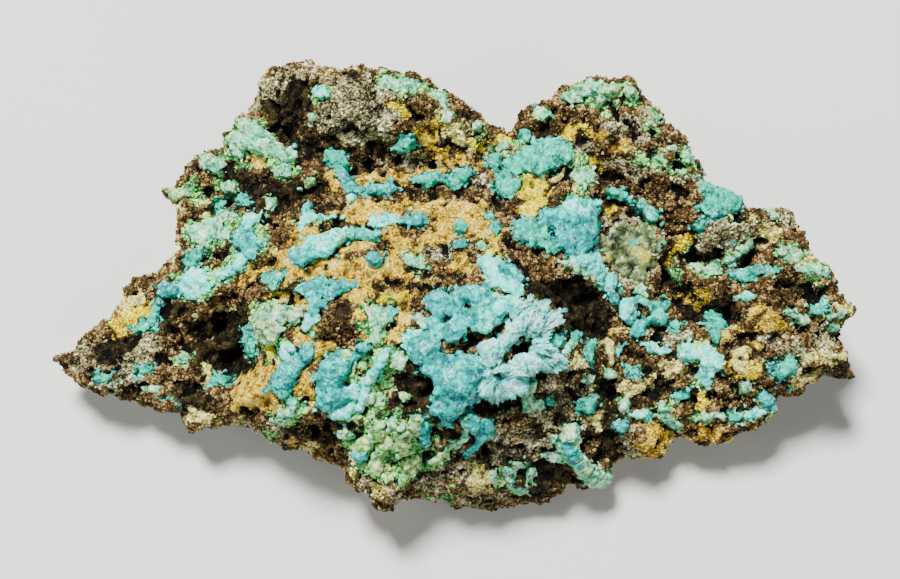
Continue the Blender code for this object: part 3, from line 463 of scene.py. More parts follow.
# The growths of each piece: tone, height in mm, largest lobe and outline. Cyan, dome and teal are the smooth
# crusts, pale and frost the silky ones, mint, sage and green the sugary ones.
growths = {
    "aurichalcite_main": [
        ("cyan", 1.1, 15, [425, 299, 430, 292, 438, 290, 446, 292, 452, 299, 455, 308, 462, 310, 464, 318,
            468, 327, 465, 336, 452, 342, 441, 338, 435, 334, 428, 330, 426, 320, 434, 314, 427, 308]),
        ("cyan", 1.3, 15, [452, 293, 458, 287, 468, 286, 478, 288, 487, 285, 492, 292, 502, 296, 500, 318,
            492, 330, 484, 333, 473, 330, 466, 320, 464, 313, 466, 305, 459, 308, 452, 303]),
        ("pale", 1.2, 12, [487, 285, 492, 292, 504, 296, 516, 298, 522, 303, 514, 310, 507, 311, 502, 318,
            501, 324, 492, 330, 484, 333, 473, 330, 478, 322, 490, 312, 492, 300]),
        ("pale", 1.3, 11, [475, 262, 487, 255, 497, 259, 499, 270, 497, 280, 488, 277, 482, 269]),
        ("cyan", 1.2, 8, [499, 262, 506, 261, 515, 269, 525, 276, 522, 284, 510, 276, 500, 272]),
        ("pale", 1.2, 10, [488, 278, 500, 274, 510, 276, 522, 284, 524, 293, 519, 297, 507, 292, 496, 287,
            488, 287]), ("dome", 2.1, 17, (424, 348, 16, 16, 0)),
        ("pale", 0.7, 6, [403, 338, 409, 331, 417, 331, 423, 333, 418, 340, 412, 350, 406, 352]),
        ("mint", 0.7, 6, [411, 316, 418, 313, 426, 320, 426, 330, 420, 326]),
        ("cyan", 1.6, 18, [416, 365, 424, 366, 435, 356, 441, 353, 449, 355, 458, 353, 473, 355, 482, 362,
            484, 375, 478, 391, 473, 401, 466, 406, 459, 414, 453, 422, 442, 424, 440, 416, 429, 413,
            430, 407, 439, 399, 433, 391, 433, 378, 424, 373]),
        ("frost", 1.4, 9, [507, 311, 516, 304, 528, 305, 544, 302, 549, 310, 560, 315, 560, 322, 551, 333,
            541, 337, 532, 338, 527, 336, 520, 335, 515, 340, 516, 347, 507, 344, 503, 338, 506, 328,
            515, 320]),
        ("frost", 1.5, 10, [481, 345, 490, 341, 503, 338, 509, 345, 503, 353, 500, 362, 491, 368, 482,
            364]),
        ("frost", 1.4, 9, [532, 341, 545, 339, 553, 351, 566, 360, 565, 365, 551, 372, 539, 368, 531, 372,
            524, 381, 524, 391, 514, 394, 503, 398, 491, 399, 485, 394, 476, 395, 485, 378, 484, 368,
            492, 372, 500, 364, 507, 367, 512, 359, 520, 354, 529, 352]),
    ],
    "saddle_nugget": [
        ("cyan", 1.6, 15, [542, 213, 544, 210, 554, 209, 562, 206, 568, 200, 577, 199, 589, 200, 600, 202,
            599, 210, 597, 217, 599, 233, 596, 240, 592, 248, 583, 254, 572, 256, 562, 250, 556, 244,
            554, 232, 548, 226, 543, 222]),
        ("pale", 1.8, 6, [560, 208, 568, 200, 577, 199, 600, 202, 599, 209, 586, 211, 572, 214]),
        ("teal", 1.2, 13, (526, 230, 12, 12, 0)), ("teal", 1.0, 9, (541, 239, 9, 9, 0)),
        ("teal", 1.1, 7, (542, 227, 7, 6, 0)), ("teal", 0.9, 8, (551, 248, 7, 6, 0)),
        ("pale", 0.9, 8, [566, 254, 583, 254, 590, 250, 600, 255, 602, 265, 606, 273, 616, 276, 614, 292,
            607, 294, 600, 287, 592, 276, 583, 266, 574, 264]),
        ("mint", 0.5, 6, [560, 262, 574, 264, 583, 268, 592, 278, 584, 276, 572, 270]),
    ],
    "notch_crust": [
        ("teal", 0.8, 8, [508, 158, 520, 152, 531, 147, 542, 140, 554, 138, 562, 142, 570, 148, 571, 159,
            566, 164, 556, 168, 545, 173, 536, 176, 524, 172, 516, 176, 507, 170, 500, 164]),
        ("teal", 0.7, 8, [487, 159, 496, 155, 500, 163, 497, 169, 489, 168]),
        ("teal", 0.8, 8, [493, 178, 503, 170, 511, 177, 520, 181, 519, 188, 511, 197, 503, 200, 498, 193]),
        ("teal", 0.8, 6, (525, 136, 6, 5, 20)), ("mint", 0.5, 5, (504, 146, 6, 4, 20)),
    ],
    "cliff_crust": [
        ("sage", 0.8, 6, [259, 308, 269, 305, 278, 308, 286, 305, 292, 310, 303, 310, 303, 317, 294, 324,
            286, 321, 280, 324, 286, 328, 280, 335, 276, 340, 269, 344, 260, 343, 255, 333, 253, 322,
            256, 314]),
        ("teal", 0.8, 7, [245, 328, 249, 324, 254, 325, 257, 338, 256, 355, 252, 359, 246, 352, 243, 340]),
    ],
    "front_crust": [
        ("cyan", 1.3, 15, [338, 351, 347, 352, 356, 359, 350, 367, 346, 376, 341, 384, 350, 385, 355, 392,
            350, 402, 340, 404, 330, 410, 319, 408, 317, 398, 318, 384, 316, 375, 323, 363]),
        ("pale", 0.9, 8, [350, 386, 362, 381, 360, 396, 356, 409, 350, 419, 338, 420, 327, 416, 332, 409,
            342, 404, 352, 400]), ("cyan", 1.0, 8, [355, 345, 366, 341, 372, 350, 362, 355]),
        ("green", 0.8, 6, [336, 353, 342, 349, 350, 351, 354, 355, 344, 358, 334, 360]),
    ],
    "front_fan": [
        ("green", 0.9, 6, [356, 440, 368, 433, 371, 426, 376, 418, 384, 422, 385, 432, 382, 437, 374, 441,
            371, 451, 365, 456, 358, 464, 349, 457, 354, 449]),
        ("green", 0.9, 6, [380, 439, 389, 438, 393, 443, 387, 451, 384, 461, 384, 470, 378, 477, 371, 474,
            365, 467, 373, 457]),
        ("green", 0.9, 6, [395, 430, 403, 426, 412, 419, 419, 413, 422, 420, 420, 436, 409, 436, 410, 443,
            405, 455, 397, 457, 396, 443]),
        ("cyan", 1.1, 6, [419, 415, 428, 422, 430, 433, 429, 447, 424, 451, 420, 443, 418, 430]),
        ("green", 0.9, 6, [414, 452, 421, 451, 422, 466, 416, 473, 408, 479, 401, 487, 399, 482, 404, 473,
            401, 463, 407, 457]),
        ("green", 0.8, 5, [426, 462, 434, 456, 443, 451, 446, 444, 451, 446, 450, 455, 441, 462, 433, 466,
            427, 467]),
        ("mint", 0.7, 5, [452, 447, 454, 441, 462, 436, 464, 417, 469, 416, 469, 436, 466, 443, 457, 448]),
        ("mint", 0.6, 4, (346, 434, 8, 5, 10)), ("green", 0.7, 5, (382, 403, 5, 7, 20)),
        ("cyan", 0.9, 5, (361, 454, 9, 6, -30)), ("mint", 0.6, 4, (392, 424, 6, 4, 30)),
    ],
    "shoulder_crust": [
        ("mint", 0.7, 6, [225, 137, 239, 134, 239, 122, 247, 121, 262, 128, 270, 135, 279, 143, 290, 148,
            299, 153, 294, 161, 286, 160, 272, 157, 260, 153, 247, 149, 242, 160, 233, 155, 229, 143]),
        ("mint", 0.7, 5, [274, 171, 284, 163, 292, 170, 288, 179, 278, 176]),
        ("mint", 0.9, 9, [201, 158, 211, 153, 225, 160, 225, 167, 218, 172, 206, 170, 201, 166]),
    ],
    "left_slab": [
        ("cyan", 0.9, 11, [296, 293, 304, 284, 313, 278, 324, 277, 328, 282, 325, 290, 322, 296, 326, 304,
            320, 312, 314, 318, 308, 312, 307, 300, 304, 296]),
        ("cyan", 0.8, 9, [325, 292, 334, 281, 343, 281, 355, 285, 348, 291, 338, 296, 330, 302, 325, 300]),
        ("pale", 0.7, 6, [305, 312, 316, 316, 322, 312, 316, 324, 309, 331, 302, 329]),
    ],
    "left_arc_slab": [
        ("pale", 0.9, 8, [307, 247, 307, 240, 321, 234, 336, 229, 347, 228, 350, 236, 342, 244, 333, 250,
            318, 252]),
        ("cyan", 0.8, 7, [288, 257, 291, 249, 305, 248, 320, 251, 333, 250, 340, 246, 333, 255, 320, 258,
            308, 263, 301, 267, 293, 262]),
        ("teal", 0.7, 5, [347, 229, 367, 230, 382, 232, 378, 239, 364, 241, 348, 238]),
    ],
    "upper_arc_strip": [
        ("pale", 0.8, 6, [368, 218, 378, 216, 391, 214, 402, 217, 403, 222, 389, 227, 375, 227, 370, 225]),
        ("cyan", 0.8, 6, [402, 218, 412, 219, 413, 213, 420, 213, 429, 224, 420, 226, 410, 226, 403, 223]),
    ],
    "valley_strip_left": [
        ("teal", 0.6, 7, [326, 151, 342, 151, 347, 157, 347, 171, 340, 176, 334, 168, 326, 160]),
        ("cyan", 0.7, 7, [337, 172, 347, 171, 353, 181, 361, 189, 363, 194, 350, 193, 340, 184]),
        ("cyan", 0.7, 6, [364, 188, 375, 185, 389, 183, 398, 188, 392, 193, 378, 195, 367, 195]),
    ],
    "valley_strip_right": [
        ("teal", 0.8, 8, [410, 185, 413, 178, 426, 175, 437, 172, 445, 178, 444, 183, 437, 182, 429, 188,
            419, 185]),
        ("teal", 0.8, 8, [446, 180, 454, 171, 468, 168, 474, 171, 466, 181, 459, 190, 451, 190]),
    ],
    "front_left_slab": [
        ("pale", 0.9, 8, [281, 345, 289, 344, 295, 348, 297, 356, 292, 362, 284, 360, 280, 354]),
        ("cyan", 0.9, 9, [297, 355, 304, 345, 313, 344, 313, 356, 309, 363, 302, 370, 296, 377, 290, 386,
            284, 392, 276, 391, 269, 388, 271, 378, 278, 370, 284, 362, 292, 362]),
        ("teal", 0.7, 6, [276, 391, 290, 386, 290, 395, 296, 406, 290, 408, 286, 401, 278, 396]),
    ],
    "mint_ridge": [
        ("pale", 1.1, 6, [385, 348, 388, 355, 382, 370, 372, 384, 369, 397, 362, 413, 356, 409, 361, 395,
            362, 381, 372, 370, 378, 358]),
        ("mint", 0.7, 5, [389, 368, 394, 355, 401, 350, 406, 355, 405, 367, 397, 369]),
    ],
    "left_edge_crust": [
        ("cyan", 0.6, 9, [158, 286, 166, 281, 178, 285, 182, 292, 176, 296, 169, 299, 160, 295]),
        ("pale", 0.7, 9, [183, 274, 192, 269, 205, 269, 211, 277, 219, 283, 207, 292, 197, 300, 188, 298,
            180, 292, 179, 284]),
    ],
    "shoulder_patch": [
        ("mint", 0.7, 9, [186, 227, 201, 222, 214, 219, 219, 212, 233, 212, 238, 216, 230, 220, 222, 224,
            230, 232, 229, 241, 214, 239, 205, 246, 192, 241, 187, 235]),
        ("pale", 0.6, 8, [240, 222, 247, 213, 258, 214, 263, 217, 257, 222, 247, 229]),
        ("cyan", 0.8, 9, [234, 236, 238, 230, 248, 229, 257, 236, 261, 246, 256, 258, 247, 261, 243, 252,
            236, 246]), ("mint", 0.7, 7, [257, 237, 267, 239, 271, 245, 262, 250, 257, 256]),
        ("teal", 0.6, 7, [188, 253, 201, 249, 204, 254, 198, 264, 188, 269, 181, 262]),
        ("pale", 0.6, 7, [214, 274, 233, 263, 239, 254, 248, 257, 243, 269, 232, 276, 219, 280]),
    ],
    "right_edge_crust": [
        ("teal", 0.7, 8, [700, 179, 711, 185, 722, 188, 736, 193, 742, 200, 740, 209, 728, 212, 716, 219,
            705, 216, 699, 208, 704, 200, 700, 192]),
        ("teal", 0.6, 6, [691, 225, 700, 221, 704, 227, 699, 233]),
    ],
    "wing_crust": [
        ("teal", 0.7, 7, [727, 272, 736, 270, 744, 270, 756, 266, 768, 266, 779, 269, 775, 274, 760, 274,
            753, 280, 739, 281, 730, 278]),
    ],
    "hollow_crust": [
        ("cyan", 0.8, 8, [604, 288, 612, 285, 619, 295, 616, 304, 610, 303]),
        ("pale", 0.8, 6, [619, 306, 628, 299, 635, 307, 636, 316, 630, 326, 624, 321, 619, 318]),
        ("teal", 0.8, 8, [634, 296, 642, 297, 654, 302, 664, 301, 668, 307, 664, 311, 668, 318, 664, 324,
            652, 324, 644, 322, 650, 315, 648, 306, 638, 304]),
        ("cyan", 0.9, 9, [632, 322, 642, 318, 650, 322, 644, 327, 643, 334, 636, 337, 629, 333]),
    ],
    "lower_right_crust": [
        ("mint", 0.8, 8, [550, 434, 560, 434, 568, 425, 573, 422, 579, 425, 580, 439, 579, 448, 585, 456,
            593, 465, 607, 470, 613, 474, 608, 484, 599, 488, 588, 485, 580, 477, 574, 468, 565, 457,
            557, 448, 552, 441]),
        ("mint", 0.6, 6, [538, 456, 550, 450, 560, 454, 567, 462, 556, 462, 546, 459]),
        ("cyan", 0.9, 7, [556, 440, 566, 440, 574, 452, 580, 466, 574, 466, 564, 452]),
    ],
    "turquoiseSpots": [
        ("pale", 0.5, 5, [300, 218, 305, 213, 312, 211, 318, 215, 340, 215, 339, 219, 318, 220, 305, 226,
            300, 234, 298, 228]), ("cyan", 0.6, 5, (308, 207, 4, 4, 0)),
        ("teal", 0.9, 10, [399, 138, 408, 133, 415, 136, 417, 143, 409, 151, 398, 154, 395, 148]),
        ("pale", 0.5, 5, (351, 198, 5, 4, 0)), ("teal", 0.7, 6, (461, 226, 6, 6, 0)),
        ("cyan", 0.5, 5, (460, 245, 7, 4, 0)), ("teal", 0.5, 4, (490, 216, 4, 4, 0)),
        ("teal", 0.6, 5, (495, 227, 5, 6, 0)), ("teal", 0.6, 8, (494, 160, 7, 7, 0)),
        ("cyan", 0.7, 8, (375, 259, 8, 7, 0)), ("mint", 0.5, 5, (483, 246, 5, 4, 0)),
        ("teal", 0.8, 8, [261, 276, 266, 272, 275, 275, 281, 271, 285, 276, 280, 282, 276, 288, 270, 288,
            264, 282]),
        ("cyan", 0.8, 7, [463, 418, 471, 411, 480, 419, 492, 420, 497, 427, 490, 437, 480, 446, 468, 455,
            466, 450, 475, 443, 474, 434, 464, 425]),
        ("teal", 0.7, 8, [575, 408, 579, 398, 593, 396, 597, 404, 588, 412, 580, 412]),
        ("cyan", 0.8, 8, [611, 425, 618, 419, 628, 421, 626, 430, 618, 431]),
        ("teal", 0.7, 6, [607, 191, 613, 188, 623, 192, 631, 198, 635, 201, 631, 204, 622, 200, 613, 197]),
        ("teal", 0.6, 7, [636, 203, 643, 200, 650, 206, 658, 213, 659, 220, 652, 224, 644, 219, 641, 210]),
        ("mint", 0.6, 6, [684, 265, 697, 262, 707, 268, 713, 264, 720, 269, 717, 275, 709, 276, 697, 270]),
        ("teal", 0.8, 8, [704, 318, 712, 311, 720, 313, 723, 319, 727, 326, 720, 330, 721, 336, 716, 344,
            712, 340, 709, 331, 706, 323]),
        ("teal", 0.6, 6, [669, 324, 675, 319, 682, 324, 677, 330, 670, 328]),
        ("teal", 0.6, 6, [570, 331, 578, 329, 577, 345, 571, 347]),
        ("teal", 0.7, 6, [582, 351, 589, 342, 597, 340, 593, 351, 593, 365, 586, 361]),
        ("cyan", 0.6, 5, [615, 351, 621, 345, 625, 346, 618, 356]),
        ("teal", 0.7, 7, [672, 394, 682, 388, 691, 389, 688, 398, 675, 402]),
        ("cyan", 0.6, 7, [757, 396, 763, 388, 772, 396, 776, 406, 768, 412, 760, 404]),
        ("teal", 0.7, 7, [772, 373, 783, 363, 791, 359, 796, 365, 791, 373, 780, 379]),
        ("teal", 0.4, 5, [808, 308, 820, 306, 821, 313, 811, 315]), ("teal", 0.4, 5, (104, 378, 12, 4, -5)),
        ("teal", 0.4, 5, (146, 370, 8, 4, -15)), ("teal", 0.4, 4, (145, 327, 7, 4, -20)),
        ("teal", 0.4, 4, (156, 312, 5, 8, 10)), ("teal", 0.5, 5, (222, 380, 10, 4, -5)),
        ("teal", 0.4, 6, (222, 204, 7, 5, 0)), ("cyan", 0.6, 6, (245, 243, 8, 7, 0)),
        ("teal", 0.5, 4, (738, 416, 9, 4, -20)),
        ("teal", 0.5, 6, [240, 193, 248, 196, 250, 206, 242, 207, 236, 200]),
        ("teal", 0.5, 5, (388, 314, 7, 8, 20)), ("cyan", 0.5, 5, (352, 357, 9, 6, -20)),
        ("teal", 0.5, 4, (548, 402, 4, 5, 0)), ("teal", 0.5, 4, (556, 318, 4, 8, 10)),
    ],
    "mintSpots": [
        ("mint", 0.6, 8, [364, 309, 372, 305, 382, 306, 389, 313, 388, 324, 381, 331, 382, 343, 374, 347,
            370, 336, 372, 324]),
        ("mint", 0.8, 6, [521, 393, 530, 379, 537, 381, 533, 393, 535, 408, 530, 412, 523, 410]),
        ("mint", 0.6, 4, [536, 399, 543, 400, 542, 409, 538, 410]),
        ("mint", 0.6, 6, [722, 260, 731, 256, 743, 243, 746, 234, 753, 241, 752, 249, 743, 254, 732, 262,
            727, 265]),
        ("pale", 0.8, 6, [680, 345, 688, 342, 699, 350, 709, 343, 714, 352, 723, 357, 722, 371, 713, 371,
            710, 382, 704, 387, 698, 376, 700, 366, 696, 359, 685, 360, 677, 356]),
        ("pale", 0.8, 6, [643, 343, 652, 341, 658, 347, 670, 350, 667, 355, 654, 355, 647, 350]),
        ("mint", 0.5, 5, [602, 374, 611, 370, 619, 375, 614, 379, 605, 379]),
        ("pale", 0.7, 6, [629, 414, 639, 410, 649, 410, 653, 416, 643, 418, 633, 419]),
        ("mint", 0.6, 6, [659, 406, 668, 406, 671, 415, 681, 424, 679, 429, 667, 425, 658, 418]),
        ("mint", 0.5, 5, [698, 419, 707, 412, 724, 413, 727, 421, 713, 417, 704, 421]),
        ("mint", 0.6, 5, [784, 310, 794, 309, 802, 316, 812, 320, 807, 325, 799, 324, 791, 318]),
        ("mint", 0.5, 5, [830, 316, 840, 309, 847, 313, 839, 320]),
        ("mint", 0.4, 5, [830, 323, 839, 325, 835, 332, 827, 330]),
        ("pale", 0.5, 5, [736, 298, 744, 290, 753, 293, 757, 298, 745, 301]),
        ("mint", 0.5, 6, [775, 250, 787, 246, 799, 249, 803, 257, 794, 263, 783, 261]),
        ("mint", 0.5, 5, [794, 266, 814, 265, 831, 270, 828, 277, 814, 276, 799, 272]),
        ("mint", 0.4, 5, [764, 210, 775, 209, 780, 217, 770, 219]),
        ("mint", 0.5, 5, [565, 96, 575, 87, 590, 83, 604, 84, 598, 92, 584, 98, 574, 104, 566, 104]),
        ("sage", 0.5, 4, (614, 88, 8, 4, 0)), ("mint", 0.5, 4, (630, 92, 6, 5, 20)),
        ("sage", 0.4, 4, (600, 100, 6, 4, -20)), ("green", 0.4, 4, (654, 120, 5, 9, -20)),
        ("sage", 0.4, 4, (672, 148, 4, 3, 30)), ("sage", 0.4, 4, (662, 160, 9, 3, 30)),
        ("mint", 0.4, 4, (689, 158, 5, 9, -30)), ("mint", 0.4, 3, (680, 172, 6, 3, 20)),
        ("mint", 0.5, 5, [377, 84, 381, 76, 391, 76, 398, 82, 409, 76, 416, 84, 415, 91, 403, 94, 392, 89,
            384, 85]),
        ("mint", 0.5, 4, [432, 91, 445, 94, 447, 106, 446, 115, 454, 113, 450, 124, 443, 119, 441, 102,
            433, 97]), ("green", 0.6, 4, (423, 88, 5, 3, 10)),
        ("green", 0.5, 5, [303, 189, 307, 179, 316, 176, 316, 184, 308, 189]),
        ("mint", 0.5, 5, [266, 199, 275, 197, 278, 207, 267, 211]),
        ("mint", 0.6, 7, [220, 184, 232, 181, 235, 189, 226, 194]),
        ("green", 0.6, 7, [167, 194, 173, 190, 188, 190, 191, 194, 183, 198, 174, 202]),
        ("mint", 0.5, 5, (184, 358, 7, 5, 0)), ("mint", 0.4, 5, (153, 389, 7, 4, 0)),
        ("mint", 0.6, 6, (288, 412, 15, 6, -50)), ("mint", 0.5, 5, (745, 386, 7, 5, -20)),
        ("mint", 0.4, 5, (541, 113, 10, 5, 10)), ("mint", 0.4, 5, (478, 127, 4, 6, 0)),
        ("mint", 0.5, 5, (583, 176, 13, 9, 10)), ("mint", 0.5, 4, (414, 262, 12, 6, 20)),
        ("mint", 0.5, 4, (370, 398, 7, 5, -40)), ("pale", 0.5, 5, (752, 414, 14, 4, -15)),
        ("mint", 0.6, 4, (508, 470, 5, 5, 0)), ("mint", 0.6, 4, (520, 465, 8, 4, 0)),
        ("mint", 0.6, 4, (530, 474, 4, 9, 10)), ("mint", 0.6, 4, (509, 481, 4, 8, -10)),
        ("mint", 0.5, 4, (519, 490, 9, 4, 0)), ("mint", 0.5, 4, (494, 478, 4, 9, 0)),
        ("mint", 0.5, 4, (570, 345, 5, 7, 20)), ("mint", 0.4, 4, (588, 380, 6, 5, 0)),
        ("mint", 0.5, 4, (640, 290, 7, 5, -30)), ("pale", 0.4, 4, (320, 92, 7, 7, 0)),
        ("mint", 0.4, 4, (313, 116, 4, 5, 0)), ("green", 0.4, 4, (404, 396, 5, 4, 0)),
        ("teal", 0.5, 5, (557, 340, 5, 8, -30)), ("cyan", 0.4, 4, (637, 372, 4, 3, 0)),
        ("mint", 0.5, 4, (624, 404, 5, 10, 10)), ("cyan", 0.9, 5, (706, 372, 4, 10, 5)),
    ],
}


def joinNodes(tree, kind, settings=None, **sockets):
    # Adds a node, sets its own values, then fills or links its inputs by name or number.
    node = tree.nodes.new(kind)
    for name, value in (settings or {}).items():
        setattr(node, name, value)
    for name, value in sockets.items():
        socket = node.inputs[int(name[1:])] if name[0] == "_" else node.inputs[name.replace("_", " ")]
        if isinstance(value, bpy.types.NodeSocket):
            tree.links.new(value, socket)
        else:
            socket.default_value = value
    return node


def shade(code):
    # A colour code as the linear values that a colour socket takes.
    parts = [int(code[place:place + 2], 16) / 255 for place in (0, 2, 4)]
    parts = [part / 12.92 if part < 0.04045 else ((part + 0.055) / 1.055) ** 2.4 for part in parts]
    return (*parts, 1.0)


def blendOf(tree, share, first, second):
    return joinNodes(tree, "ShaderNodeMix", {"data_type": "RGBA"}, _0=share, _6=first, _7=second).outputs[2]


def mathOf(tree, operation, first, second=0.5, third=0.5, clamp=False):
    settings = {"operation": operation, "use_clamp": clamp}
    return joinNodes(tree, "ShaderNodeMath", settings, _0=first, _1=second, _2=third).outputs[0]


def productOf(tree, first, second):
    return mathOf(tree, "MULTIPLY", first, second)


def scaledSum(tree, value, scale, plus, clamp=False):
    return mathOf(tree, "MULTIPLY_ADD", value, scale, plus, clamp)


def vectorOf(tree, operation, **sockets):
    return joinNodes(tree, "ShaderNodeVectorMath", {"operation": operation}, **sockets).outputs[0]


def rangeOf(tree, value, low, high, toLow=0.0, toHigh=1.0):
    settings = {"interpolation_type": "SMOOTHSTEP"}
    sockets = {"_0": value, "_1": low, "_2": high, "_3": toLow, "_4": toHigh}
    return joinNodes(tree, "ShaderNodeMapRange", settings, **sockets).outputs[0]


def noiseOf(tree, place, pitch, detail=4.0, rough=0.6):
    # Pitch is the size in mm of one swell of the noise.
    node = joinNodes(tree, "ShaderNodeTexNoise", None, Vector=place, Scale=1.0 / (pitch * mm), Detail=detail,
                     Roughness=rough)
    return node.outputs["Fac"]


def patchOf(tree, place, patch, toLow=0.0, toHigh=1.0):
    # A noise cut into patches: pitch in mm, detail, roughness, then the levels where they start and end.
    pitch, detail, rough, low, high = patch
    return rangeOf(tree, noiseOf(tree, place, pitch, detail, rough), low, high, toLow, toHigh)


def attributeOf(tree, name, output="Fac"):
    return joinNodes(tree, "ShaderNodeAttribute", {"attribute_name": name}).outputs[output]


def channelsOf(tree, name):
    # The three channels of a colour attribute.
    return joinNodes(tree, "ShaderNodeSeparateColor", None, Color=attributeOf(tree, name, "Color")).outputs


def newTree(name, kind, inputs, outputs):
    # A node tree with named inputs and outputs, and the nodes at its two ends.
    tree = bpy.data.node_groups.new(name, kind)
    for label, sort, value in inputs:
        socket = tree.interface.new_socket(name=label, in_out="INPUT", socket_type="NodeSocket" + sort)
        if value is not None:
            socket.default_value = value
    for label, sort in outputs:
        tree.interface.new_socket(name=label, in_out="OUTPUT", socket_type="NodeSocket" + sort)
    given = tree.nodes.new("NodeGroupInput")
    return tree, given.outputs, tree.nodes.new("NodeGroupOutput").inputs


def useGroup(tree, group, **sockets):
    return joinNodes(tree, "ShaderNodeGroup", {"node_tree": group}, **sockets).outputs


groupLook = {
    "raggedDetail": 5.0,
    "raggedRough": 0.72,
    "swirlDetail": 3.0,
    "swirlRough": 0.65,
    "swirl": 1.7,  # how far grains are pushed about, as a share of their size
    "speck": 1.2,
    "gap": (0.4, 0.66),  # from the middle of a grain, where its dark gap starts and ends
    "cloudShare": 0.45,
    "luckShare": 0.55,
    "toMid": (0.15, 0.45),
    "toLight": (0.5, 0.8),
    # Painted shade in the gaps between grains: its tone, and how far it draws the dark tone toward it.
    "gapShadeTone": "030202",
    "gapShadeDepth": 0.8,
}


def brokenEdgeGroup():
    # Turns a soft mask into a crumbly-edged one.
    tree, given, out = newTree("brokenEdge", "ShaderNodeTree", [
        ("Mask", "Float", 0.0), ("Place", "Vector", None), ("Pitch", "Float", 0.5), ("Ragged", "Float", 0.7),
        ("Sharp", "Float", 0.12)], [("Mask", "Float")])
    scale = mathOf(tree, "DIVIDE", 1.0 / mm, given["Pitch"])
    ragged = joinNodes(tree, "ShaderNodeTexNoise", None, Vector=given["Place"], Scale=scale,
                       Detail=groupLook["raggedDetail"], Roughness=groupLook["raggedRough"])
    swing = mathOf(tree, "SUBTRACT", ragged.outputs["Fac"], 0.5)
    moved = scaledSum(tree, swing, given["Ragged"], given["Mask"])
    low = mathOf(tree, "SUBTRACT", 0.5, given["Sharp"])
    high = mathOf(tree, "ADD", 0.5, given["Sharp"])
    tree.links.new(rangeOf(tree, moved, low, high), out["Mask"])
    return tree


def grainBedGroup():
    # Packed grains: a chance value for each grain, the dark gaps between them and their rounded height.
    tree, given, out = newTree("grainBed", "ShaderNodeTree", [
        ("Place", "Vector", None), ("Size", "Float", 0.3)], [
        ("Luck", "Float"), ("Gap", "Float"), ("Height", "Float")])
    scale = mathOf(tree, "DIVIDE", 1.0 / mm, given["Size"])
    swirl = joinNodes(tree, "ShaderNodeTexNoise", None, Vector=given["Place"], Scale=scale,
                      Detail=groupLook["swirlDetail"], Roughness=groupLook["swirlRough"]).outputs
    centred = vectorOf(tree, "SUBTRACT", _0=swirl["Color"], _1=(0.5, 0.5, 0.5))
    amount = productOf(tree, given["Size"], groupLook["swirl"] * mm)
    push = vectorOf(tree, "SCALE", _0=centred, _3=amount)
    moved = vectorOf(tree, "ADD", _0=given["Place"], _1=push)
    cells = joinNodes(tree, "ShaderNodeTexVoronoi", None, Vector=moved, Scale=scale).outputs
    luck = joinNodes(tree, "ShaderNodeSeparateColor", None, Color=cells["Color"]).outputs[0]
    speck = scaledSum(tree, swirl["Fac"], groupLook["speck"], -groupLook["speck"] / 2)
    distance = cells["Distance"]
    tree.links.new(mathOf(tree, "ADD", luck, speck, clamp=True), out["Luck"])
    tree.links.new(rangeOf(tree, distance, *groupLook["gap"]), out["Gap"])
    tree.links.new(mathOf(tree, "SUBTRACT", 1.0, productOf(tree, distance, distance)), out["Height"])
    return tree


def mineralGroup():
    # One mineral in three tones, picked grain by grain, with its gaps in shade.
    tree, given, out = newTree("mineral", "ShaderNodeTree", [
        ("Dark", "Color", None), ("Mid", "Color", None), ("Light", "Color", None), ("Luck", "Float", 0.5),
        ("Cloud", "Float", 0.5), ("Gap", "Float", 0.0), ("Shade", "Float", 0.8)], [("Color", "Color")])
    clouded = productOf(tree, given["Cloud"], groupLook["cloudShare"])
    both = scaledSum(tree, given["Luck"], groupLook["luckShare"], clouded)
    lower = blendOf(tree, rangeOf(tree, both, *groupLook["toMid"]), given["Dark"], given["Mid"])
    tone = blendOf(tree, rangeOf(tree, both, *groupLook["toLight"]), lower, given["Light"])
    # Painted shade in the gaps between grains.
    black = blendOf(tree, groupLook["gapShadeDepth"], given["Dark"], shade(groupLook["gapShadeTone"]))
    tree.links.new(blendOf(tree, productOf(tree, given["Gap"], given["Shade"]), tone, black), out["Color"])
    return tree


def paintedShadeAndHighlightGroup():
    # Painted shade and highlight: darkens what lies low, in creases and hollows, and pales what stands proud.
    tree, given, out = newTree("crease", "ShaderNodeTree", [
        ("Color", "Color", None), ("Proud", "Float", 0.0), ("Hollow", "Color", None), ("Rim", "Color", None),
        ("Depth", "Float", 0.2), ("Deep", "Float", 0.9), ("Pale", "Float", 0.2)], [("Color", "Color")])
    low = rangeOf(tree, given["Proud"], productOf(tree, given["Depth"], -1.0), 0.0, 1.0, 0.0)
    high = rangeOf(tree, given["Proud"], 0.0, given["Depth"])
    dark = blendOf(tree, productOf(tree, low, given["Deep"]), given["Color"], given["Hollow"])
    tree.links.new(blendOf(tree, productOf(tree, high, given["Pale"]), dark, given["Rim"]), out["Color"])
    return tree


brokenEdge = brokenEdgeGroup()
grainBed = grainBedGroup()
mineral = mineralGroup()
crease = paintedShadeAndHighlightGroup()


def threeTones(codes):
    dark, mid, light = codes
    return {"Dark": shade(dark), "Mid": shade(mid), "Light": shade(light)}


def withPaintedShadeAndHighlight(tree, colour, proud, look):
    # Paints shade and highlight into a colour by how proud its place is: shade tone, highlight tone, depth in
    # mm, deep and pale shares.
    hollow, rim, depth, deep, pale = look
    return useGroup(tree, crease, Color=colour, Proud=proud, Hollow=shade(hollow), Rim=shade(rim),
                    Depth=depth, Deep=deep, Pale=pale)[0]


def layered(tree, place, layers, look):
    # Lays the colour of each mask over those before it, each with a broken edge of its own.
    along, over, up = look["edgeShift"]
    colour = layers[0][1]
    for index, (mask, own) in enumerate(layers[1:], 1):
        spot = vectorOf(tree, "ADD", _0=place, _1=(along * index, over * index, up))
        cover = useGroup(tree, brokenEdge, Place=spot, Mask=mask, **look["edge"])[0]
        colour = blendOf(tree, cover, colour, own)
    return colour


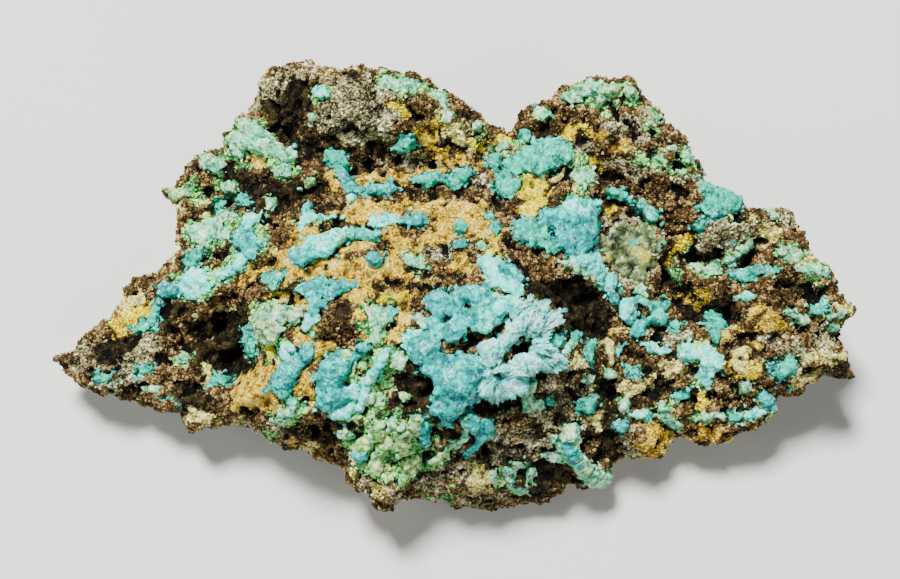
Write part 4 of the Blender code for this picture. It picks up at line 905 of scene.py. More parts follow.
def newMaterial(name):
    material = bpy.data.materials.new(name)
    material.use_nodes = True
    tree = material.node_tree
    tree.nodes.clear()
    out = tree.nodes.new("ShaderNodeOutputMaterial")
    shader = tree.nodes.new("ShaderNodeBsdfPrincipled")
    tree.links.new(shader.outputs[0], out.inputs[0])
    place = tree.nodes.new("ShaderNodeTexCoord").outputs["Object"]
    return material, tree, shader.inputs, place


def bumpInto(tree, shader, height, reach, strength):
    # Reach is the height of the bumps in mm.
    bump = joinNodes(tree, "ShaderNodeBump", None, Height=height, Distance=reach * mm, Strength=strength)
    tree.links.new(bump.outputs[0], shader["Normal"])


# The kinds of stone, each as its dark, middle and light grains.
tones = {
    "brown": ("080502", "54391c", "b49860"),
    # The dark kind is dark stone and also painted shade: it is laid near black over the deep hollows.
    "dark": ("010101", "0a0704", "483a1e"),
    "tan": ("6c4c14", "f0c428", "fff080"),
    "grey": ("1c1914", "a49c70", "fffad4"),
    "yellow": ("ac7c00", "fcec00", "fff848"),
    "cream": ("88783c", "fcf488", "fffcd0"),
    "mint": ("208450", "88f480", "f0ffa8"),
    "teal": ("046054", "00d4bc", "60fce8"),
}
kinds = list(tones)
fineKinds = {"tan", "grey", "yellow", "cream"}
paleKinds = {"tan", "yellow", "cream"}
# For each kind: relief of crumbs, beads, ragged noise and lumps in mm, then cover of loose grains and
# their bulk.
kindForm = np.array([
    (0.12, 0.08, 0.18, 0.18, 0.95, 0.9),
    (0.14, 0.08, 0.18, 0.24, 0.2, 0.8),
    (0.06, 0.05, 0.16, 0.14, 0.9, 0.62),
    (0.08, 0.08, 0.18, 0.14, 1.0, 0.8),
    (0.10, 0.08, 0.14, 0.12, 0.9, 0.7),
    (0.12, 0.10, 0.16, 0.14, 0.9, 0.85),
    (0.16, 0.12, 0.14, 0.20, 0.9, 0.85),
    (0.16, 0.12, 0.14, 0.20, 0.8, 0.85),
])
stone = {
    "coarseGrain": 0.42,  # mm
    "fineGrain": 0.2,
    "luck": 0.8,
    "gaps": (0.9, 0.5),  # depth of the painted shade in the gaps between grains, on dark and on pale stone
    "edge": {"Pitch": 0.8, "Ragged": 1.9, "Sharp": 0.07},
    "edgeShift": (0.01, 0.003, 0.007),  # m, so that no two edges are alike
    "mintCover": 0.8,
    "cloud": (1.4, 4.0, 0.65, 0.32, 0.68),
    "speck": (0.11, 2.0, 0.7),
    "speckShare": 0.6,
    "loosePower": 1.4,
    "looseDrop": 0.3,
    "soot": (0.3, 4.0, 0.8, 0.57, 0.65),
    "sootTone": "3c2810",
    "sootCover": 0.75,
    "flour": (0.24, 4.0, 0.8, 0.43, 0.36),
    "flourTone": "f0e088",
    "flourCover": (0.6, -0.55),  # everywhere, then what dark and yellow stone take away
    # Painted shade: near-black spots painted over the rock as shaded pits.
    "pits": (0.5, 4.0, 0.75, 0.56, 0.66),
    "pitShadeTone": "0a0705",
    "pitShadeCover": 0.85,
    # Painted shade in the creases and hollows of the rock and of its loose grains, with a faint painted
    # highlight on what stands proud.
    "near": ("050302", "b09454", 0.12, 0.95, 0.04),
    "wide": ("050403", "b09454", 0.2, 0.97, 0.03),
    "looseWide": ("050403", "b09454", 0.2, 0.92, 0.03),
    "roughness": (0.35, 4.0, 0.6, 0.3, 0.7),
    "roughRange": (0.4, 0.95),
    "specular": 0.1,
    "fineRise": 0.55,
    "dust": (0.12, 2.0, 0.6),
    "dustRise": 0.6,
    "calm": 0.8,  # share of the bumps that a fresh face lacks
    "bump": 0.18,  # mm
    "looseBump": 0.07,
    "looseDust": (0.1, 3.0, 0.7),
    "bumpStrength": 0.9,
}


def rockMaterial(name, loose):
    # The same stone for the ground and for the loose grains on it, which carry a chance value each.
    material, tree, shader, place = newMaterial(name)
    channels = [channel for layer in ("kindsA", "kindsB") for channel in channelsOf(tree, layer)]
    masks = dict(zip(kinds[1:], channels + [attributeOf(tree, kinds[-1])]))
    coarse = useGroup(tree, grainBed, Place=place, Size=stone["coarseGrain"])
    fine = useGroup(tree, grainBed, Place=place, Size=stone["fineGrain"])
    cloud = patchOf(tree, place, stone["cloud"])
    pick = mathOf(tree, "POWER", attributeOf(tree, "luck"), stone["loosePower"])
    looseLuck = scaledSum(tree, noiseOf(tree, place, *stone["speck"]), stone["speckShare"],
                          mathOf(tree, "SUBTRACT", pick, stone["looseDrop"]), True)
    layers = []
    for kind in kinds:
        bed = fine if kind in fineKinds else coarse
        luck = looseLuck if loose else productOf(tree, bed["Luck"], stone["luck"])
        gaps = 0.0 if loose else stone["gaps"][kind in paleKinds]
        own = useGroup(tree, mineral, Luck=luck, Cloud=cloud, Gap=bed["Gap"], Shade=gaps,
                       **threeTones(tones[kind]))[0]
        mask = productOf(tree, masks[kind], stone["mintCover"]) if kind == "mint" else masks.get(kind)
        layers.append((mask, own))
    colour = layered(tree, place, layers, stone)
    bright = mathOf(tree, "ADD", masks["mint"], masks["yellow"], clamp=True)
    sooty = productOf(tree, patchOf(tree, place, stone["soot"]), mathOf(tree, "SUBTRACT", 1.0, bright))
    colour = blendOf(tree, productOf(tree, sooty, stone["sootCover"]), colour, shade(stone["sootTone"]))
    full, less = stone["flourCover"]
    strong = scaledSum(tree, mathOf(tree, "ADD", masks["dark"], masks["yellow"]), less, full, True)
    floury = productOf(tree, patchOf(tree, place, stone["flour"]), strong)
    colour = blendOf(tree, floury, colour, shade(stone["flourTone"]))
    if not loose:
        # Painted shade: near-black spots as shaded pits.
        pitShade = productOf(tree, patchOf(tree, place, stone["pits"]), stone["pitShadeCover"])
        colour = blendOf(tree, pitShade, colour, shade(stone["pitShadeTone"]))
        # Painted shade in the fine creases and a faint painted highlight on the ridges.
        colour = withPaintedShadeAndHighlight(tree, colour, attributeOf(tree, "near"), stone["near"])
    # Painted shade in the wide hollows, on the rock and on its loose grains alike.
    look = stone["looseWide" if loose else "wide"]
    colour = withPaintedShadeAndHighlight(tree, colour, attributeOf(tree, "wide"), look)
    tree.links.new(colour, shader["Base Color"])
    tree.links.new(patchOf(tree, place, stone["roughness"], *stone["roughRange"]), shader["Roughness"])
    shader["Specular IOR Level"].default_value = stone["specular"]
    if loose:
        height = noiseOf(tree, place, *stone["looseDust"])
        bumpInto(tree, shader, height, stone["looseBump"], stone["bumpStrength"])
        return material
    height = scaledSum(tree, fine["Height"], stone["fineRise"], coarse["Height"])
    height = scaledSum(tree, noiseOf(tree, place, *stone["dust"]), stone["dustRise"], height)
    rest = scaledSum(tree, attributeOf(tree, "calm"), -stone["calm"], 1.0)
    bumpInto(tree, shader, productOf(tree, height, rest), stone["bump"], stone["bumpStrength"])
    return material


rock = {
    "coarseVoxel": 0.36,  # mm
    "fineVoxel": 0.262,
    "weld": 1e-6,  # m
    "fitTimes": 3,
    "fitSteps": 540,  # directions in which the outline is fitted
    "warpFrom": 0.55,  # share of the way to the rim where the outline fit begins
    "wander": 8.0,  # picture units by which hollows and ridges stray
    "raggedEdges": ((12.0, "edgeWide"), (9.6, "edgeFine")),  # the same for the edges of patches
    "softEdge": 7.0,
    "halo": 5.0,  # how far the blue-green stain reaches round a growth
    "haloSwing": 7.0,
    "fineStain": 0.5,
    "haloCover": 0.55,
    "openingEdge": 2.0,
    "reliefReach": 2.0,  # in half widths
    "swells": 0.35,  # mm from here on
    "folds": 0.4,
    "lift": 0.12,
    "swirl": 0.9,
    "crackDepth": 0.42,
    "crackWidth": 0.11,  # share of the pitch
    "noduleRise": 0.42,
    "darkNodules": 0.6,  # share of that on dark stone
    "roughRise": 0.16,
    "pitDepth": 0.75,
    "pitRange": (0.26, 0.46),
    "smallPits": 0.4,
    "fewerPits": (0.0, 0.0, 0.75, 0.6, 0.9, 0.6, 0.0, 0.0),  # for each kind, the share that it lacks
    "smoothShare": 0.9,
    "freshEdge": 4.0,
    "seen": (-0.1, 0.25),  # how far a place faces the eye where its guessed side gives way to its seen one
    "seenLuck": 0.25,
    "facing": (0.05, 0.6),
    "above": (0.1, 1.2),  # mm above the base where the broad relief starts and is full
    "rising": (0.05, 0.7),
    "grainsFrom": (0.3, 0.6),
    "grainsOver": (-0.6, -0.2),
    "grainsIn": (-0.16, 0.0),
    "clearing": 2.5,  # picture units
    "knobsFrom": (0.4, 0.8),
    "nearRounds": 3,  # of smoothing, to tell bumps from creases
    "wideRounds": 14,
}
# What the back and the underside are made of: kind, pitch in mm, level above which it shows, shift.
wildKinds = [
    ("dark", 3.0, 0.12, 11.0), ("tan", 3.6, 0.22, 22.0), ("grey", 3.2, 0.04, 33.0),
    ("cream", 2.0, 0.32, 44.0), ("mint", 2.4, 0.34, 55.0), ("teal", 2.0, 0.44, 66.0),
]
wildEdge = 0.08
wildShift = (5.0, 2.0)
# Holes in the main crust, where the rock shows; they are painted with the near-black dark kind, as dark stone
# and painted shade.
openings = [(521, 348, 10, 6, 15), (496, 332, 5, 6, 0), (497, 374, 4, 3, 0), (447, 319, 3, 2.5, 0),
            (468, 305, 4, 3, 60), (530, 377, 5, 4, 0)]
# Fresh fracture faces, where few crumbs stick.
smoothFaces = [
    [228, 378, 240, 364, 262, 356, 272, 366, 266, 384, 272, 398, 262, 412, 240, 406, 228, 398],
]


def outlineReach(angles):
    # How far the outline is from its middle, in each direction.
    corners = cornersOf(rimOutline) - outlineMiddle
    reach = np.zeros(len(angles))
    rays = np.stack([np.cos(angles), np.sin(angles)], axis=1)
    for start, end in zip(corners, np.roll(corners, -1, axis=0)):
        run = end - start
        cross = rays[:, 0] * run[1] - rays[:, 1] * run[0]
        safe = np.where(np.abs(cross) < tiny, tiny, cross)
        far = (start[0] * run[1] - start[1] * run[0]) / safe
        along = (start[0] * rays[:, 1] - start[1] * rays[:, 0]) / safe
        hit = (along >= 0.0) & (along <= 1.0) & (far > 0.0)
        reach = np.where(hit, np.maximum(reach, far), reach)
    return reach


def fitOutline(points):
    # Slides the rim sideways until the rock fills its outline, without lifting it.
    steps = rock["fitSteps"]
    for step in range(rock["fitTimes"]):
        spots, depth = toPicture(points)
        away = spots - outlineMiddle
        angle = np.arctan2(away[:, 1], away[:, 0])
        reach = np.hypot(away[:, 0], away[:, 1])
        bins = ((angle + math.pi) / (2 * math.pi) * steps).astype(int) % steps
        widest = np.zeros(steps)
        np.maximum.at(widest, bins, reach)
        wanted = outlineReach((np.arange(steps) + 0.5) / steps * 2 * math.pi - math.pi)
        wide = np.mean([np.roll(widest, turn) for turn in (-1, 0, 1)], axis=0)
        share = smoothStep(rock["warpFrom"], 1.0, reach / wide[bins])
        push = away * (((wanted / wide)[bins] - 1.0) * share)[:, None]
        across = push[:, 0] * depth / pixelReach
        back = -push[:, 1] * depth / pixelReach / math.sin(sight["tilt"])
        points = points + np.stack([across, back, np.zeros(len(points))], axis=1)
    return points


def coverWith(shares, places, cover, kind):
    # Lays one kind of stone over what is there.
    shares[places] = shares[places] * (1.0 - cover)[:, None]
    shares[places, kinds.index(kind)] += cover


def kindShares(points, normals):
    # How much of each kind of stone shows at each place.
    plain, depth = toPicture(points)
    spots = plain
    for reach, name in rock["raggedEdges"]:
        spots = spots + reach * pushOf(points, name + "Across", name + "Down")
    shares = np.zeros((len(points), len(kinds)))
    shares[:, 0] = 1.0
    wild = shares.copy()
    soft = rock["softEdge"]
    for kind, shape in paint:
        near = nearShape(spots, shape, soft)
        coverWith(shares, near, smoothStep(-soft, soft, shapeDepth(spots[near], shape)), kind)
    stain = rock["haloSwing"] * (layerOf(points, "stain") + rock["fineStain"] * layerOf(points, "fineStain"))
    halo = rock["halo"]
    for tone, height, largest, shape in (growth for shapes in growths.values() for growth in shapes):
        near = nearShape(plain, shape, halo)
        cover = rock["haloCover"] * smoothStep(-halo, 0.0, shapeDepth(plain[near], shape) + stain[near])
        coverWith(shares, near, cover, "teal" if tone in ("cyan", "teal") else "mint")
    # Painted shade: the holes in the crust take the near-black dark kind.
    edge = rock["openingEdge"]
    for opening in openings:
        near = nearShape(plain, opening, edge)
        coverWith(shares, near, smoothStep(-edge, 0.0, shapeDepth(plain[near], opening)), "dark")
    for kind, pitch, level, shift in wildKinds:
        patch = noiseField(points, pitch, (shift, *wildShift))
        coverWith(wild, slice(None), smoothStep(level - wildEdge, level + wildEdge, patch), kind)
    facing = normals @ sightBack + rock["seenLuck"] * layerOf(points, "facing")
    seen = smoothStep(*rock["seen"], facing)[:, None]
    return shares * seen + wild * (1.0 - seen)


def coarseRock():
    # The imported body, fitted to its outline, with hollows, ridges and the joints between its blocks.
    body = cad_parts["matrix"].data.copy()
    shell = bmesh.new()
    shell.from_mesh(body)
    bmesh.ops.remove_doubles(shell, verts=shell.verts, dist=rock["weld"])
    shell.to_mesh(body)
    shell.free()
    coarse = voxelCopy(body, rock["coarseVoxel"], "rockCoarse")
    points, normals = meshArrays(coarse)
    points = fitOutline(points)
    spots, depth = toPicture(points)
    spots = spots + rock["wander"] * pushOf(points, "wanderAcross", "wanderDown")
    lift = np.zeros(len(points))
    for height, reach, path in relief:
        near = nearShape(spots, path, reach * rock["reliefReach"])
        lift[near] += height * np.exp(-(pathDistance(spots[near], path) / reach) ** 2)
    facing = smoothStep(*rock["facing"], normals @ sightBack)
    points = points + (lift * facing)[:, None] * sightBack
    above = smoothStep(*rock["above"], points[:, 2])
    folds = np.abs(layerOf(points, "folds"))
    broad = rock["swells"] * layerOf(points, "swells") - rock["folds"] * folds + rock["lift"]
    swirled = points + rock["swirl"] * pushOf(points, "swirlX", "swirlY", "swirlZ")
    cracks = 1.0 - smoothStep(0.0, rock["crackWidth"], layerOf(swirled, "cracks", crackField))
    points = points + normals * ((broad - rock["crackDepth"] * cracks) * above)[:, None]
    points[:, 2] = np.maximum(points[:, 2], 0.0)
    setPoints(coarse, points)
    return coarse


def fineRise(points, shares, smooth):
    # The fine relief of the stone in mm.
    form = shares @ kindForm[:, :4]
    bits = [layerOf(points, "crumbs", domeField), layerOf(points, "beads", domeField),
            layerOf(points, "ragged"), layerOf(points, "lumps")]
    rise = np.einsum("ij,ij->i", form, np.stack(bits, axis=1))
    pits = layerOf(points, "pits") + rock["smallPits"] * layerOf(points, "smallPits")
    pits = smoothStep(*rock["pitRange"], pits) * (1.0 - shares @ np.array(rock["fewerPits"]))
    swollen = rock["noduleRise"] * (shares[:, 0] + rock["darkNodules"] * shares[:, 1])
    rise = rise + swollen * layerOf(points, "nodules", domeField)
    rise = rise + rock["roughRise"] * (shares[:, 0] + shares[:, 1]) * layerOf(points, "rough")
    return (rise - rock["pitDepth"] * pits) * (1.0 - rock["smoothShare"] * smooth)


def buildRock():
    coarse = coarseRock()
    fine = voxelCopy(coarse, rock["fineVoxel"], "rockFine")
    print("rock", len(coarse.vertices), "to", len(fine.vertices), "places")
    points, normals = meshArrays(fine)
    shares = kindShares(points, normals)
    spots, depth = toPicture(points)
    smooth = np.zeros(len(points))
    soft = rock["freshEdge"]
    for face in smoothFaces:
        smooth = np.maximum(smooth, smoothStep(-soft, soft, shapeDepth(spots, face)))
    rise = fineRise(points, shares, smooth) * smoothStep(*rock["rising"], points[:, 2])
    points = points + normals * rise[:, None]
    points[:, 2] = np.maximum(points[:, 2], 0.0)
    setPoints(fine, points)
    wide = proudness(fine, rock["wideRounds"])
    storeColour(fine, "kindsA", *shares[:, 1:4].T)
    storeColour(fine, "kindsB", *shares[:, 4:7].T)
    storeValue(fine, kinds[-1], shares[:, -1])
    # How proud each place is, from which the material paints shade in creases and highlight on ridges.
    storeValue(fine, "near", proudness(fine, rock["nearRounds"]))
    storeValue(fine, "wide", wide)
    storeValue(fine, "calm", smooth)
    points, normals = meshArrays(fine)
    bare = smoothStep(*rock["grainsFrom"], points[:, 2]) * smoothStep(*rock["grainsOver"], normals[:, 2])
    cover = (shares @ kindForm[:, 4]) * bare * smoothStep(*rock["grainsIn"], wide) * (1.0 - smooth)
    for opening in openings:
        cover = cover * (1.0 - smoothStep(-rock["clearing"], 0.0, shapeDepth(spots, opening)))
    storeValue(fine, "cover", cover)
    storeValue(fine, "bulk", shares @ kindForm[:, 5])
    storeValue(fine, "knobCover", cover * smoothStep(*rock["knobsFrom"], shares[:, 0] + shares[:, 1]))
    return fine


rockSkin = buildRock()
limonite = rockMaterial("limoniteMatrix", False)
addPiece("matrixRock", rockSkin, limonite, ["matrix"])


# For each tone, how much teal, pale, mint, frost and green there is in its colour.
toneShares = {
    "cyan": (0.0, 0.10, 0.0, 0.0, 0.0),
    "dome": (0.0, 0.12, 0.0, 0.22, 0.0),
    "teal": (0.75, 0.10, 0.10, 0.0, 0.0),
    "pale": (0.0, 0.75, 0.05, 0.15, 0.0),
    "frost": (0.0, 0.35, 0.0, 1.0, 0.0),
    "mint": (0.0, 0.50, 0.80, 0.0, 0.0),
    "sage": (0.0, 0.0, 0.9, 0.0, 0.45),
    "green": (0.05, 0.0, 0.85, 0.0, 0.85),
}
# For each tone: bumps on a lobe for each mm of its radius, their smallest size and spread as shares of the
# lobe, how deep they sink into it, then the relief of fibres, crumpling and creases in mm.
lobeForm = {
    "cyan": (4.0, 0.30, 0.30, 0.80, 0.03, 0.015, 0.09),
    "dome": (0.0, 0.20, 0.20, 0.50, 0.05, 0.015, 0.0),
    "teal": (4.5, 0.26, 0.28, 0.70, 0.04, 0.03, 0.09),
    "pale": (4.5, 0.25, 0.28, 0.72, 0.06, 0.03, 0.07),
    "frost": (2.0, 0.30, 0.30, 0.80, 0.0, 0.03, 0.0),
    "mint": (4.5, 0.22, 0.26, 0.65, 0.04, 0.07, 0.10),
    "sage": (5.0, 0.20, 0.26, 0.60, 0.05, 0.10, 0.10),
    "green": (6.5, 0.18, 0.24, 0.50, 0.06, 0.16, 0.08),
}
sugaryTones = ("mint", "sage", "green")
roundTones = ("dome", "green")
growthShape = {
    "voxel": 0.11,  # mm
    "smallestLobe": 2.2,  # picture units
    "mintLobe": 1.9,
    "crowding": 0.7,  # least distance between two lobes, as a share of the larger
    "flatness": 0.85,
    "boxiness": 3.2,  # more makes a flatter top
    "roundness": 2.0,
    "lobeLevel": 3,
    "knobLevel": 2,
    "postSides": 10,
    "tries": (200, 2.0),  # places tried for lobes: at least, and for each square picture unit
    "margin": 1.5,
    "wobble": (1.6, 5.0),  # how far an outline strays, and over what distance
    "snug": 1.05,  # radius of a lobe as a share of its depth inside the outline
    "lobeLuck": (0.8, 0.24),
    "shallow": (0.4, 0.8),  # shares of the smallest lobe: least depth and least radius
    "crumbs": 0.06,  # loose crumbs round a growth for each picture unit of its girth
    "crumbTries": 4,
    "crumbReach": (0.5, 5.0),
    "crumbLuck": (0.6, 0.5),
    "crumbHeight": 0.3,  # mm
    "levelFrom": 4,  # more lobes than this keep near one slanting level
    "level": 0.6,
    "sunk": -0.2,  # mm
    "riseLuck": (0.75, 0.45),
    "lowest": 0.5,  # height of the smallest lobes, as a share of the largest
    "root": 0.35,  # mm that a post goes into the rock
    "leastPost": 0.1,
    "post": (0.7, 0.9),  # width of a post as a share of its lobe, at its foot and at its top
    "stretch": (0.9, 0.2),
    "lean": (1.25, 0.6),  # how far round a lobe its bumps go, and how close they keep to its top
    "spokes": (3.2, 7.0),
    "fineSpokes": 0.6,
    "lobeShift": 40.0,
    "sugarBeads": 0.7,
    "creaseStray": 0.35,
    "creaseWidth": 0.1,  # share of the pitch
    "fray": 0.24,  # mm by which edges wander
    "steep": (0.35, 0.8),
    "toneLuck": 0.2,
    "rivals": 5,  # lobes that a place may belong to
    "toneRounds": 3,
    "nearRounds": 3,
    "wideRounds": 12,
    "spokeShift": 3.0,
}
fans = {
    "holes": [(521, 346), (499, 331), (497, 374)],  # picture places that the blades spread from
    "ring": 45.0,  # picture units over which a blade changes along its length
    "apart": 7.0,
    "frosty": 0.9,  # growths with more frost than this have blades
    "edge": (0.3, 0.8),
    "edgeRounds": 4,
    "relief": 0.2,  # mm
    "fineRelief": 0.6,
    "leaning": 0.35,
    "perSquareMm": 60.0,
    "length": 0.3,  # mm
    "width": 0.085,
    "across": 14.0,  # blades in one turn, as a noise scale
    "up": (0.22, 0.25),  # how much a fibre leans to the eye and away from the crust
    "cover": (0.35, 0.7),
    "facing": (-0.4, 0.1),
    "stray": 0.14,
    "lengthLuck": (0.4, 1.0),
    "widthLuck": (0.6, 1.2),
    "thin": 0.35,
    "seed": 41,
    "seeds": {"stray": 5, "length": 7, "width": 8},
}


def bodyTree(mesh):
    faces = [tuple(face.vertices) for face in mesh.polygons]
    return BVHTree.FromPolygons([Vector(place) for place in meshArrays(mesh)[0]], faces)


def patternBall(level, boxiness):
    ball = bmesh.new()
    bmesh.ops.create_icosphere(ball, subdivisions=level, radius=1.0)
    places = np.array([vert.co[:] for vert in ball.verts])
    faces = np.array([[vert.index for vert in face.verts] for face in ball.faces])
    ball.free()
    reach = np.hypot(places[:, 0], places[:, 1]) ** boxiness + np.abs(places[:, 2]) ** boxiness
    return places / (reach ** (1.0 / boxiness))[:, None], faces


def patternPost():
    # A short round post, from 0 to 1 along its own length.
    post = bmesh.new()
    bmesh.ops.create_cone(post, cap_ends=True, cap_tris=True, segments=growthShape["postSides"],
                          radius1=1.0, radius2=1.0, depth=1.0)
    bmesh.ops.triangulate(post, faces=post.faces)
    places = np.array([vert.co[:] for vert in post.verts]) + (0.0, 0.0, 0.5)
    faces = np.array([[vert.index for vert in face.verts] for face in post.faces])
    post.free()
    return places, faces


flatBall = patternBall(growthShape["lobeLevel"], growthShape["boxiness"])
roundBall = patternBall(growthShape["lobeLevel"], growthShape["roundness"])
knobBall = patternBall(growthShape["knobLevel"], growthShape["roundness"])
postPattern = patternPost()
growthAxes = np.stack([sightRight, sightUp, sightBack])


def fillShape(shape, largest, smallest, dice):
    # Lobes that together fill an outline: each is as large as fits inside it.
    low, high = shapeBounds(shape)
    size = high - low
    least, perUnit = growthShape["tries"]
    tries = int(least + size[0] * size[1] * perUnit)
    margin = growthShape["margin"]
    spots = low - margin + dice.random((tries, 2)) * (size + 2.0 * margin)
    stray, pitch = growthShape["wobble"]
    wobble = np.array([noise.noise(Vector((spot[0], spot[1], 0.0)) / pitch) for spot in spots])
    depth = shapeDepth(spots, shape) + stray * wobble
    for opening in openings:
        depth = np.minimum(depth, -shapeDepth(spots, opening))
    shallow, narrow = growthShape["shallow"]
    base, luck = growthShape["lobeLuck"]
    crowding = growthShape["crowding"]
    lobes = []
    for index in np.argsort(-depth):
        if depth[index] < smallest * shallow:
            break
        radius = min(depth[index] * growthShape["snug"], largest) * (base + luck * dice.random())
        radius = max(radius, smallest * narrow)
        spot = spots[index]
        if all(np.hypot(*(spot - other)) > crowding * max(radius, reach) for other, reach in lobes):
            lobes.append((spot, radius))
    return lobes


def strayCrumbs(shape, smallest, dice):
    # A few small crumbs just outside an outline.
    low, high = shapeBounds(shape)
    girth = 2.0 * (high - low).sum()
    close, far = growthShape["crumbReach"]
    tries = int(girth * growthShape["crumbTries"])
    spots = low - far + dice.random((tries, 2)) * (high - low + 2.0 * far)
    depth = shapeDepth(spots, shape)
    outside = spots[(depth < -close) & (depth > -far)][:int(girth * growthShape["crumbs"])]
    base, luck = growthShape["crumbLuck"]
    return [(spot, smallest * (base + luck * dice.random())) for spot in outside]


def seatLobes(lobes, height, ground, dice):
    # Puts each lobe on the rock along the sight line: middle, radius and foot, in mm.
    seats = []
    for spot, radius in lobes:
        hit = ground.ray_cast(Vector(eye), sightRay(*spot))
        if hit[0] is not None:
            seats.append((spot, radius, np.array(hit[0])))
    if not seats:
        return []
    spots = np.array([seat[0] for seat in seats])
    rise = np.array([(seat[2] - eye) @ sightBack for seat in seats])
    level = rise
    if len(seats) > growthShape["levelFrom"]:
        plan = np.column_stack([spots - spots.mean(axis=0), np.ones(len(spots))])
        fit = np.linalg.lstsq(plan, rise, rcond=None)[0]
        level = growthShape["level"] * (plan @ fit) + (1.0 - growthShape["level"]) * rise
    largest = max(seat[1] for seat in seats)
    base, luck = growthShape["riseLuck"]
    lowest = growthShape["lowest"]
    made = []
    for (spot, radius, seat), top, own in zip(seats, level, rise):
        size = radius * -(seat - eye) @ sightBack / pixelReach
        share = lowest + (1.0 - lowest) * min(1.0, radius / largest)
        lift = max(top - own, growthShape["sunk"]) + height * share * (base + luck * dice.random())
        middle = seat + sightBack * (lift - size * growthShape["flatness"])
        made.append((middle, size, seat - sightBack * growthShape["root"]))
    return made


def knobsOn(middle, size, tone, dice):
    # Smaller bumps over the upper side of a lobe.
    made = []
    perMm, least, spread, sink = lobeForm[tone][:4]
    widest, upward = growthShape["lean"]
    for knob in range(int(size * perMm)):
        turn = dice.random() * 2 * math.pi
        lean = widest * dice.random() ** upward
        way = np.array([math.cos(turn) * math.sin(lean), math.sin(turn) * math.sin(lean), math.cos(lean)])
        radius = size * (least + spread * dice.random())
        spot = middle + (way * (size * growthShape["flatness"] - sink * radius)) @ growthAxes
        made.append((knobBall[0] * radius + spot, knobBall[1]))
    return made


def lobeParts(seat, pattern, squash, waist, tone, dice):
    # A lobe, the post that it stands on and the bumps over it.
    middle, size, foot = seat
    post, sides = postPattern
    reach = max((middle - foot) @ sightBack, growthShape["leastPost"])
    wide = np.where(post[:, 2:] < 0.5, *waist) * size
    stem = np.hstack([post[:, :2] * wide, post[:, 2:] * reach]) @ growthAxes + foot
    lobe = (pattern[0] * squash) @ growthAxes + middle
    return [(lobe, pattern[1]), (stem, sides)] + knobsOn(middle, size, tone, dice)


def heapMesh(name, parts):
    # One closed skin around a heap of overlapping bodies.
    places, faces, total = [], [], 0
    for part, skin in parts:
        places.append(part)
        faces.append(skin + total)
        total += len(part)
    raw = bpy.data.meshes.new(name + "Raw")
    raw.from_pydata((np.vstack(places) * mm).tolist(), [], np.vstack(faces).tolist())
    return voxelCopy(raw, growthShape["voxel"], name)


def fanTurn(points):
    # Which way the blades run at each place, and a value that is the same all along a blade.
    spots, depth = toPicture(points)
    holes = np.array(fans["holes"], float)
    gap = np.linalg.norm(spots[:, None, :] - holes[None, :, :], axis=2)
    nearest = gap.argmin(axis=1)
    reach = gap.min(axis=1)
    way = (spots - holes[nearest]) / np.maximum(reach, 1.0)[:, None]
    turn = np.column_stack([way, reach / fans["ring"] + fans["apart"] * nearest])
    return way[:, :1] * sightRight - way[:, 1:] * sightUp, turn


def lobeOwners(points, middles, sizes):
    # Which lobe each place belongs to.
    finder = KDTree(len(middles))
    for index, middle in enumerate(middles):
        finder.insert(middle, index)
    finder.balance()
    found = [finder.find_n(point, growthShape["rivals"]) for point in points]
    return np.array([min(near, key=lambda hit: hit[2] / sizes[hit[1]])[1] for near in found])


